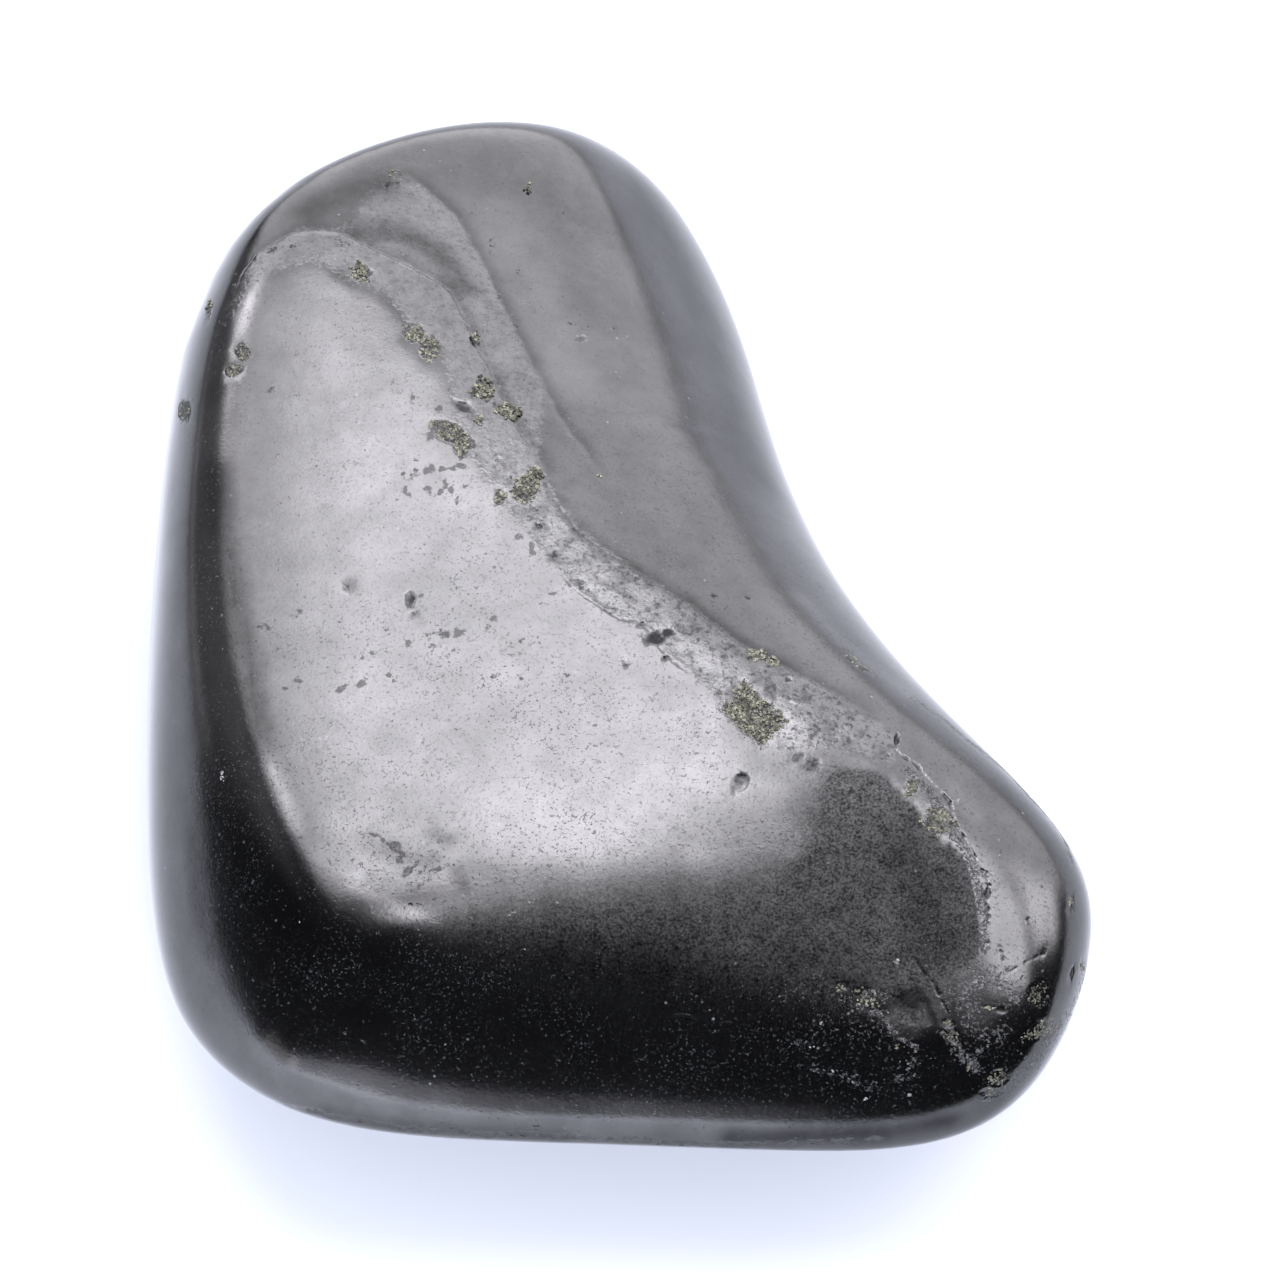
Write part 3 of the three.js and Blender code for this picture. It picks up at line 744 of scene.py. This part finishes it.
def carve(points, caster):
    """All the relief. Lengths are in mm, and each feature has a seed of its own."""
    relief = Relief(points, caster, near_details(hairline_places(caster), 1.0)(points))
    relief.waves()
    relief.seam()
    relief.dish()
    relief.apron(FAR_EDGE, slope=0.08, width=5.5, run_out=14.0)
    relief.ledge(PLATEAU_LEDGE, drop=0.1, run_out=3.5, scarp=0.28, seed=3.0)
    relief.ledge(TERRACE_LEDGE, drop=0.06, run_out=3.0, scarp=0.4, seed=13.0)
    relief.crack(INNER_CREASE, depth=0.03, half_width=0.07, seed=17.0, dark=0.6)
    relief.crack(COLLAR_CRACK, depth=0.07, half_width=0.1, seed=19.0, dark=0.65)
    relief.crack(SCOOP_CRACK, depth=0.05, half_width=0.08, seed=23.0)
    for branch in CRACK_BRANCHES:
        relief.crack(branch, depth=0.08, half_width=0.06, seed=29.0)
    for index, (pixels, dark) in enumerate(SCRATCHES):
        relief.crack(pixels, depth=0.012, half_width=0.05, seed=33.0 + index, dark=dark)
    relief.crack(FRONT_CHIPS, depth=0.1, half_width=0.2, seed=31.0, mark="chips")
    for index, (pixels, half_width, strength) in enumerate(WORN):
        relief.worn(pixels, half_width, strength, seed=61.0 + index)
    # Painted shade and sheen, stroke by stroke.
    for pixels, half_width, amount in SHADE_AND_SHEEN_STROKES:
        relief.tone(pixels, half_width, amount)
    for index, spot in enumerate(SHELLS):
        relief.hollow(spot, seed=80.0 + index, mark="dish")
    for index, spot in enumerate(PITS):
        relief.hollow(spot, seed=100.0 + index)
    for index, spot in enumerate(PYRITE):
        relief.recess(spot, depth=0.025, seed=150.0 + index)
    relief.dabs("olive", OLIVE_DABS, seed=201.0)
    relief.dabs("grey", GREY_DABS, seed=203.0)
    return relief


# ---- meshes

PYRITE_SEED = 11
PALE_SEED = 12
# How far the grains are sunk in the skin, as a share of their size.
PYRITE_SUNK = 0.55
SPECKS_SUNK = 0.5
PALE_SUNK = 0.42


def place_in_frame(points):
    """From millimetres about the core to metres in the frame."""
    return (points + CORE_PLACE) * MM


def new_object(name, data):
    made = bpy.data.objects.new(name, data)
    bpy.context.scene.collection.objects.link(made)
    return made


def stone_skin(bm, relief):
    points = relief.points + relief.normals * relief.height[:, None]
    # The spot that the stone rests on stays level.
    points[:, 2] = np.maximum(points[:, 2], FLAT_SPOT_DEPTH - CORE_HEIGHT)
    write_corners(bm, place_in_frame(points))
    mesh = bpy.data.meshes.new("shungite_skin")
    bm.to_mesh(mesh)
    mesh.shade_smooth()
    for name, values in relief.marks.items():
        attribute = mesh.attributes.new(name, "FLOAT", "POINT")
        attribute.data.foreach_set("value", values.astype(np.float32))
    return new_object("shungite_skin", mesh)


def grain(bm, place, size, dice, sunk):
    """A small broken crystal: a cube with uneven sides, turned anyhow, sunk by a share of its size."""
    corners = bmesh.ops.create_cube(bm, size=1.0)["verts"]
    angle = dice.uniform(0, math.tau)
    turned = Matrix.Rotation(angle, 3, Vector([dice.gauss(0, 1) for _ in range(3)]))
    middle = Vector(place - skin_normals(place[None])[0] * sunk * size)
    for corner in corners:
        uneven = Vector([c * dice.uniform(0.75, 1.2) for c in corner.co])
        corner.co = middle + turned @ (uneven * size)


def add_grains(bm, caster, spot, dice, sunk):
    """Strews a patch's grains over its outline, which is lobed, or nearly square for a crystal's section."""
    turn = math.radians(spot.turn)
    lobing = 0.25 if spot.square else 0.8
    for _ in range(spot.grains):
        angle, radius = dice.uniform(0, math.tau), math.sqrt(dice.random())
        u, v = radius * math.cos(angle), radius * math.sin(angle)
        if spot.square:
            u, v = dice.uniform(-1, 1), dice.uniform(-1, 1)
        lobed = 1 + lobing * noise.noise(Vector((2.1 * u, 2.1 * v, 0.1 * spot.x)))
        u, v = u * spot.half_width * lobed, v * spot.half_height * lobed
        x = spot.x + u * math.cos(turn) - v * math.sin(turn)
        y = spot.y + u * math.sin(turn) + v * math.cos(turn)
        place = caster.point(x, y)
        if place is not None:
            grain(bm, place, spot.size * dice.uniform(0.5, 1.3), dice, sunk)


def grains_object(name, caster, seed, groups):
    """All the grains as one mesh. A group is patches and how far their grains are sunk."""
    bm = bmesh.new()
    dice = random.Random(seed)
    for spots, sunk in groups:
        for spot in spots:
            add_grains(bm, caster, spot, dice, sunk)
    write_corners(bm, place_in_frame(read_corners(bm)))
    mesh = bpy.data.meshes.new(name)
    bm.to_mesh(mesh)
    bm.free()
    return new_object(name, mesh)


# ---- materials


class Nodes:
    """A few words to build a material with. Sizes are in mm."""

    def __init__(self, tree):
        self.tree = tree
        self.tree.nodes.clear()

    def add(self, kind, inputs=None, **settings):
        made = self.tree.nodes.new(kind)
        for name, value in settings.items():
            setattr(made, name, value)
        for name, value in (inputs or {}).items():
            self.feed(made.inputs[name], value)
        return made

    def feed(self, socket, value):
        if isinstance(value, bpy.types.NodeSocket):
            self.tree.links.new(value, socket)
        else:
            socket.default_value = value

    def math(self, operation, a, b=0.0):
        return self.add("ShaderNodeMath", {0: a, 1: b}, operation=operation).outputs[0]

    def fold(self, operation, values):
        total = values[0]
        for value in values[1:]:
            total = self.math(operation, total, value)
        return total

    def times(self, *values):
        return self.fold("MULTIPLY", values)

    def plus(self, *values):
        return self.fold("ADD", values)

    def largest(self, *values):
        return self.fold("MAXIMUM", values)

    def minus(self, a, b):
        return self.math("SUBTRACT", a, b)

    def scaled(self, colour, share):
        return self.add("ShaderNodeVectorMath", {0: colour, "Scale": share}, operation="SCALE").outputs[0]

    def step(self, value, low, high, to_low=0.0, to_high=1.0):
        inputs = {"Value": value, "From Min": low, "From Max": high, "To Min": to_low, "To Max": to_high}
        return self.add("ShaderNodeMapRange", inputs, interpolation_type="SMOOTHSTEP").outputs["Result"]

    def mark(self, name):
        return self.add("ShaderNodeAttribute", attribute_name=name).outputs["Fac"]

    def place(self, turn=0.0):
        """The point on the object, in millimetres, turned about Z by degrees."""
        inputs = {"Vector": self.add("ShaderNodeTexCoord").outputs["Object"],
                  "Rotation": (0, 0, math.radians(turn))}
        inputs = {0: self.add("ShaderNodeMapping", inputs).outputs[0], 1: (1 / MM, 1 / MM, 1 / MM)}
        return self.add("ShaderNodeVectorMath", inputs, operation="MULTIPLY").outputs[0]

    def noise(self, size, detail=2.0, rough=0.5, place=None):
        inputs = {"Vector": place or self.place(), "Scale": 1 / size, "Detail": detail, "Roughness": rough}
        return self.add("ShaderNodeTexNoise", inputs, noise_dimensions="3D").outputs["Fac"]

    def cells(self, size):
        """The distance from the nearest of scattered points."""
        inputs = {"Vector": self.place(), "Scale": 1 / size}
        return self.add("ShaderNodeTexVoronoi", inputs, voronoi_dimensions="3D").outputs["Distance"]

    def blend(self, share, a, b):
        """a where share is 0 and b where it is 1, for numbers and for colours."""
        if isinstance(a, tuple) or isinstance(b, tuple):
            made = self.add("ShaderNodeMix", data_type="RGBA")
            for socket, value in ((made.inputs[6], a), (made.inputs[7], b)):
                self.feed(socket, (*value, 1.0) if isinstance(value, tuple) else value)
            self.feed(made.inputs[0], share)
            return made.outputs[2]
        made = self.add("ShaderNodeMix", data_type="FLOAT")
        self.feed(made.inputs[0], share)
        self.feed(made.inputs[2], a)
        self.feed(made.inputs[3], b)
        return made.outputs[0]

    def surface(self, colour, roughness, metallic=0.0, height=None):
        """A Principled surface on the material's output. height is its relief in mm."""
        inputs = {"Base Color": colour, "Roughness": roughness, "Metallic": metallic}
        if height is not None:
            inputs["Normal"] = self.add("ShaderNodeBump", {"Height": height, "Distance": MM}).outputs[0]
        shader = self.add("ShaderNodeBsdfPrincipled", inputs)
        self.add("ShaderNodeOutputMaterial", {"Surface": shader.outputs[0]})


def new_material(name):
    material = bpy.data.materials.new(name)
    material.use_nodes = True
    return material, Nodes(material.node_tree)


POLISHED = (0.084, 0.0785, 0.0825)  # what the polished stone reflects head on
CLOUDED = (0.071, 0.0685, 0.0765)  # where the polish is a little duller
DULL = (0.104, 0.103, 0.116)  # the rough seam
DULL_SPOT = (0.036, 0.036, 0.037)
GROUND = (0.0315, 0.031, 0.0405)  # the dish
DARK = (0.013, 0.013, 0.014)  # near black: the pepper, the dark grey dabs and worn flecks, and the dark painted into pits and cracks, which along the scarps is painted shade
OLIVE = (0.030, 0.034, 0.022)  # the unpolished chips low on the front
BED = (0.074, 0.072, 0.054)  # what pyrite lies in
STAIN = (0.027, 0.027, 0.005)  # weathered pyrite
WORN_GREY = (0.108, 0.108, 0.118)
PALE_FLECK = (0.16, 0.16, 0.155)
DUST = (0.062, 0.060, 0.066)  # what shows in the black of the front
BRASS = (0.150, 0.146, 0.108)  # pyrite
TARNISH = (0.060, 0.060, 0.046)
PALE_GRAIN = (0.17, 0.17, 0.165)
PALE_SHADE = (0.08, 0.08, 0.078)
PAPER = (0.47, 0.48, 0.505, 1.0)


def stone_regions(n):
    """Which part of the skin is what, as shares from 0 to 1. Fine noise frays the edges of the marks."""
    fray = n.minus(n.noise(0.22, 3), 0.5)
    fine_fray = n.times(n.minus(n.noise(0.21, 4, 0.75), 0.5), 3.4)

    def region(name, fraying, low, high):
        return n.step(n.plus(n.mark(name), n.times(fray, fraying)), low, high)

    upward = n.add("ShaderNodeSeparateXYZ", {0: n.add("ShaderNodeNewGeometry").outputs["Normal"]})
    sides = n.add("ShaderNodeSeparateXYZ", {0: n.place()}).outputs
    return SimpleNamespace(
        seam=region("seam", 0.9, -0.12, 0.25),
        dish=region("dish", 0.4, -1.0, 1.0),
        chips=region("chips", 1.0, 0.15, 0.45),
        crevice_dark=region("crevice_dark", 0.6, 0.2, 0.9),
        pyrite=region("pyrite", 0.5, 0.3, 0.8),
        worn=n.step(n.plus(n.noise(0.16, 4, 0.7), n.times(n.mark("worn"), 0.5)), 0.66, 0.78),
        grey=n.step(n.plus(n.mark("grey"), fine_fray), 0.5, 0.9),
        olive=n.step(n.plus(n.mark("olive"), fine_fray), 0.42, 0.85),
        on_top=n.step(upward.outputs["Z"], 0.35, 0.85),
        rightward=n.minus(n.times(sides["X"], 0.5), n.times(sides["Y"], 0.8)))


def pepper(n, r):
    """The pepper of the polished top: soft dabs of two sizes, short curved strokes and a few dark spots."""
    more_right = n.step(r.rightward, -12.0, 9.0, 0.5, 1.2)
    patchy = n.times(n.step(n.noise(4.0, 3), 0.35, 0.65, 0.45, 1.0), more_right)
    fine_dabs = n.times(n.step(n.noise(0.13, 2, 0.6), 0.59, 0.67), 0.8)
    broad_dabs = n.times(n.step(n.noise(0.42, 4, 0.75), 0.58, 0.7), 0.5)
    contour = n.math("ABSOLUTE", n.minus(n.noise(0.5, 1, place=n.place(turn=35)), 0.5))
    strokes = n.times(n.step(contour, 0.02, 0.003), n.step(n.noise(0.33, 1), 0.54, 0.62), 0.8)
    spot_size = n.times(n.minus(n.noise(1.4, 1), 0.42), 0.5)
    spots = n.times(n.step(n.minus(spot_size, n.cells(0.6)), 0.0, 0.06), 0.9)
    return n.times(n.largest(n.plus(fine_dabs, broad_dabs), strokes, spots), patchy, r.on_top)


def fine_relief(n, r):
    """Relief too fine for the mesh, in mm."""
    polish = n.plus(n.times(n.noise(0.16, 3, 0.65), 0.0035), n.times(n.noise(1.1, 2), 0.006))
    dish = n.plus(n.times(n.noise(0.1, 3, 0.7), 0.009), n.times(n.noise(0.9, 2), 0.012))
    seam = n.plus(n.times(n.noise(0.16, 3), 0.006), n.times(n.noise(0.5, 2), 0.009))
    rough = n.times(n.largest(r.chips, r.worn, r.pyrite), n.noise(0.14, 3, 0.6), 0.035)
    return n.plus(polish, n.times(r.dish, dish), n.times(r.seam, seam), rough)


def stone_material():
    material, n = new_material("polished_shungite")
    r = stone_regions(n)
    specks = pepper(n, r)

    # Pale flecks and dust, which show only where the skin reflects the dark.
    flecks = n.times(n.step(n.minus(0.16, n.cells(0.55)), 0.0, 0.1), n.step(n.noise(1.7, 2), 0.55, 0.75))
    dust = n.times(n.step(n.noise(0.11, 2, 0.6), 0.6, 0.69), n.step(n.noise(2.6, 3), 0.36, 0.62))

    # The plain stone: the polish, the grainy dish and the mottled seam.
    graininess = n.plus(n.step(n.noise(0.12, 3, 0.75), 0.38, 0.62, 0.35, 1.5),
                        n.step(n.noise(0.5, 3), 0.35, 0.65, -0.15, 0.25))
    mottle = n.plus(n.step(n.noise(0.9, 4, 0.65), 0.44, 0.66), n.step(n.noise(0.26, 3, 0.65), 0.5, 0.64))
    mottle = n.times(mottle, n.step(r.rightward, -12.0, 9.0, 0.3, 0.65))
    colour = n.blend(n.step(n.noise(6.0, 4), 0.35, 0.65), POLISHED, CLOUDED)
    colour = n.blend(r.dish, colour, n.scaled(GROUND, graininess))
    colour = n.blend(r.seam, colour, n.blend(mottle, DULL, DULL_SPOT))
    streaky = n.step(n.noise(1.6, 5, 0.7), 0.3, 0.7, 1.1, 0.9)
    # Painted shade and sheen: the strokes darken or brighten the colour.
    colour = n.scaled(colour, n.minus(streaky, n.mark("tone")))

    # What lies in it and on it, and the dark painted into pits and cracks, which along the scarps is painted
    # shade.
    worn_colour = n.blend(n.step(n.noise(0.12, 2, 0.6), 0.42, 0.58), WORN_GREY, DARK)
    bed_colour = n.blend(n.step(n.noise(0.13, 2, 0.6), 0.42, 0.6), BED, STAIN)
    for share, over in ((n.times(specks, 0.62), DARK), (n.times(r.grey, 0.8), DARK),
                        (n.times(r.olive, 0.85), STAIN), (n.times(flecks, 0.4), PALE_FLECK),
                        (n.times(dust, 0.55), DUST), (r.worn, worn_colour), (r.chips, OLIVE),
                        (r.pyrite, bed_colour), (n.times(r.crevice_dark, 0.9), DARK)):
        colour = n.blend(share, colour, over)

    roughness = n.blend(r.dish, n.blend(r.on_top, 0.1, 0.17), 0.44)
    roughness = n.blend(r.seam, roughness, n.step(mottle, 0, 1, 0.26, 0.36))
    roughness = n.blend(specks, roughness, 0.3)
    roughness = n.blend(r.worn, roughness, 0.42)
    roughness = n.blend(n.largest(r.chips, r.crevice_dark, r.pyrite), roughness, 0.55)
    dullness = n.largest(n.times(r.chips, 0.8), n.times(r.worn, 0.5), n.times(flecks, 0.8),
                         n.times(dust, 0.35))

    n.surface(colour, roughness, n.blend(dullness, 0.985, 0.0), fine_relief(n, r))
    return material


def pyrite_material():
    material, n = new_material("pyrite")
    colour = n.blend(n.step(n.noise(0.35, 4, 0.65), 0.4, 0.62), BRASS, TARNISH)
    roughness = n.step(n.noise(0.12, 2), 0.3, 0.7, 0.36, 0.55)
    n.surface(colour, roughness, metallic=0.45, height=n.times(n.noise(0.05, 2), 0.006))
    return material


def pale_material():
    material, n = new_material("pale_mineral")
    n.surface(n.blend(n.step(n.noise(0.1, 2), 0.35, 0.65), PALE_GRAIN, PALE_SHADE), roughness=0.45)
    return material


def floor_material():
    material, n = new_material("white_paper")
    n.surface(PAPER, roughness=0.9)
    return material


# ---- studio

FLOOR_HALF = 1.5  # metres
SOFTBOX_WHITE = (0.995, 0.975, 1.035)
CARD_WHITE = (0.95, 0.96, 1.08)
FILL_WHITE = (0.88, 0.92, 1.08)

# What the polish mirrors: azimuth (from +Y towards +X) and elevation of a light's middle in degrees, its
# distance, width and height in mm, its radiance, and the shares of its size over which it fades at its left,
# right, low and high edge.
LIGHTS = {
    "backdrop": (17, 31, 500, 1150, 600, 3.2, (0.14, 0.14, 0.08, 0.3)),
    "softbox": (6, 62, 500, 260, 300, 6.85, (0.35, 0.3, 0.2, 0.16)),
    "softbox_left": (-25, 62, 500, 330, 300, 4.1, (0.3, 0.5, 0.12, 0.16)),
    "softbox_right": (45, 61, 500, 300, 290, 3.9, (0.1, 0.3, 0.3, 0.15)),
    "softbox_top": (42, 75, 500, 210, 120, 3.5, (0.3, 0.3, 0.3, 0.3)),
    "collar_light": (71, 51, 500, 250, 270, 5.5, (0.3, 0.15, 0.25, 0.2)),
    "collar_low": (66, 21, 500, 130, 230, 4.6, (0.2, 0.2, 0.2, 0.2)),
    "left_tip": (-31, 40, 500, 150, 100, 7.5, (0.3, 0.4, 0.4, 0.4)),
    "left_rim": (-50, 59.5, 500, 100, 120, 2.7, (0.3, 0.3, 0.3, 0.3)),
    "top_tip": (-16, 85.8, 500, 90, 130, 8.5, (0.3, 0.25, 0.4, 0.25)),
    "right_fill": (115, 64, 500, 260, 190, 0.65, (0.35, 0.35, 0.35, 0.35)),
    "sweep": (3, 12, 500, 420, 200, 1.1, (0.4, 0.3, 0.0, 0.4)),
    "left_card": (-57, 30, 480, 500, 540, 0.5, (0.4, 0.12, 0.1, 0.2)),
    "left_low": (-62, 6, 480, 300, 100, 0.6, (0.3, 0.3, 0.0, 0.3)),
    "left_wall": (-131, 1.5, 480, 300, 44, 1.3, (0.15, 0.15, 0.0, 0.15)),
}


def make_camera():
    data = bpy.data.cameras.new("camera")
    data.sensor_width = SENSOR
    data.lens = SENSOR * FOCAL / PICTURE
    data.shift_x = (PICTURE / 2 - CORE_PIXEL[0]) / PICTURE
    data.shift_y = -(PICTURE / 2 - CORE_PIXEL[1]) / PICTURE
    data.clip_start, data.clip_end = 0.01, 20.0
    camera = new_object("camera", data)
    camera.location = place_in_frame(EYE)
    camera.rotation_euler = (math.radians(90 - ELEVATION), 0.0, 0.0)
    bpy.context.scene.camera = camera


def fade_edges(light, fades):
    """Dims a light towards its left, right, low and high edge, as the stone sees it."""
    light.use_nodes = True
    n = Nodes(light.node_tree)
    place = n.add("ShaderNodeNewGeometry").outputs["Parametric"]
    across = n.add("ShaderNodeSeparateXYZ", {0: place}).outputs
    from_edges = (n.minus(1.0, across["X"]), across["X"], across["Y"], n.minus(1.0, across["Y"]))
    strength = 1.0
    for from_edge, fade in zip(from_edges, fades):
        if fade > 0:
            strength = n.times(n.step(from_edge, 0.0, fade), strength)
    emission = n.add("ShaderNodeEmission", {"Strength": strength})
    n.add("ShaderNodeOutputLight", {"Surface": emission.outputs[0]})


def soft_light(name, centre, facing, width, height, radiance, colour, fades=(0, 0, 0, 0)):
    """A rectangle of light. Sizes are in mm about the core, and radiance is what the eye would see."""
    data = bpy.data.lights.new(name, "AREA")
    data.shape = "RECTANGLE"
    data.size, data.size_y = width * MM, height * MM
    data.energy = math.pi * data.size * data.size_y * radiance
    data.color = colour
    fade_edges(data, fades)
    light = new_object(name, data)
    light.location = place_in_frame(np.array(centre, float))
    light.rotation_mode = "QUATERNION"
    light.rotation_quaternion = Vector(facing).to_track_quat("-Z", "Y")
    light.visible_camera = False
    return light


def toward(azimuth, elevation):
    """The direction at an azimuth from +Y towards +X and an elevation, in degrees."""
    around, up = math.radians(azimuth), math.radians(elevation)
    return np.array([math.sin(around) * math.cos(up), math.cos(around) * math.cos(up), math.sin(up)])


def make_lights():
    for name, (azimuth, elevation, distance, width, height, radiance, fades) in LIGHTS.items():
        direction = toward(azimuth, elevation)
        soft_light(name, direction * distance, -direction, width, height, radiance, SOFTBOX_WHITE, fades)
    # A low white card in front of the stone, and one that lies on the floor. Both end a little right of
    # the core.
    soft_light("front_wall", (-55, -118, 3), facing=(0, 1, 0), width=124, height=22, radiance=1.6,
               colour=CARD_WHITE, fades=(0.14, 0.3, 0.0, 0.12))
    soft_light("front_card", (-148, -148, -7), facing=(0, 0, 1), width=315, height=335, radiance=0.75,
               colour=CARD_WHITE, fades=(0.15, 0.06, 0.0, 0.25))
    # Light on the paper and in the cracks that the polish doesn't mirror.
    fill = soft_light("fill", (-60, -150, 100), facing=(0.2, 0.75, -0.63), width=380, height=60,
                      radiance=14.0, colour=FILL_WHITE)
    fill.visible_glossy = False


def make_world():
    """White to the eye and to the dull floor, and nearly dark in the polish."""
    world = bpy.data.worlds.new("studio")
    world.use_nodes = True
    bpy.context.scene.world = world
    n = Nodes(world.node_tree)

    def glow(colour, strength):
        return n.add("ShaderNodeBackground", {"Color": colour, "Strength": strength}).outputs[0]

    def mix(share, a, b):
        return n.add("ShaderNodeMixShader", {0: share, 1: a, 2: b}).outputs[0]

    rays = n.add("ShaderNodeLightPath").outputs
    room = glow((0.85, 0.9, 1.0, 1.0), 0.014)
    tent = glow((0.86, 0.9, 1.0, 1.0), 1.1)
    backdrop = glow((0.95, 0.96, 1.0, 1.0), 0.9)
    lit = mix(rays["Is Diffuse Ray"], room, tent)
    n.add("ShaderNodeOutputWorld", {"Surface": mix(rays["Is Camera Ray"], lit, backdrop)})


def make_floor(material):
    half = FLOOR_HALF
    corners = [(-half, -half, 0), (half, -half, 0), (half, half, 0), (-half, half, 0)]
    mesh = bpy.data.meshes.new("floor")
    mesh.from_pydata(corners, [], [(0, 1, 2, 3)])
    mesh.materials.append(material)
    floor = new_object("floor", mesh)


# ---- the scene

bm = even_ball()
ball_low, ball_high = read_corners(bm).min(axis=0), read_corners(bm).max(axis=0)
box_low, box_high = (np.array(corner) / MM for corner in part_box(STONE))
CORE_PLACE = (box_low + box_high - ball_low - ball_high) / 2
CORE_PLACE[2] = box_low[2] + CORE_HEIGHT - FLAT_SPOT_DEPTH

caster = Caster(bm)
places = detail_places(caster)
refine(bm, on_upper_side)
for widening in (1.5, 1.0):
    refine(bm, near_details(places, widening))
refine(bm, near_details(hairline_places(caster), 1.0))
relief = carve(read_corners(bm), caster)

skin = stone_skin(bm, relief)
bm.free()
skin.data.materials.append(stone_material())
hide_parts(STONE)
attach(skin, "root")

pyrite = grains_object("pyrite_grains", caster, PYRITE_SEED, [(PYRITE, PYRITE_SUNK), (SPECKS, SPECKS_SUNK)])
pyrite.data.materials.append(pyrite_material())
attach(pyrite, "root")

pale = grains_object("pale_grains", caster, PALE_SEED, [(PALE, PALE_SUNK)])
pale.data.materials.append(pale_material())
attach(pale, "root")

make_floor(floor_material())
make_camera()
make_lights()
make_world()
bpy.context.scene.view_settings.view_transform = "Standard"
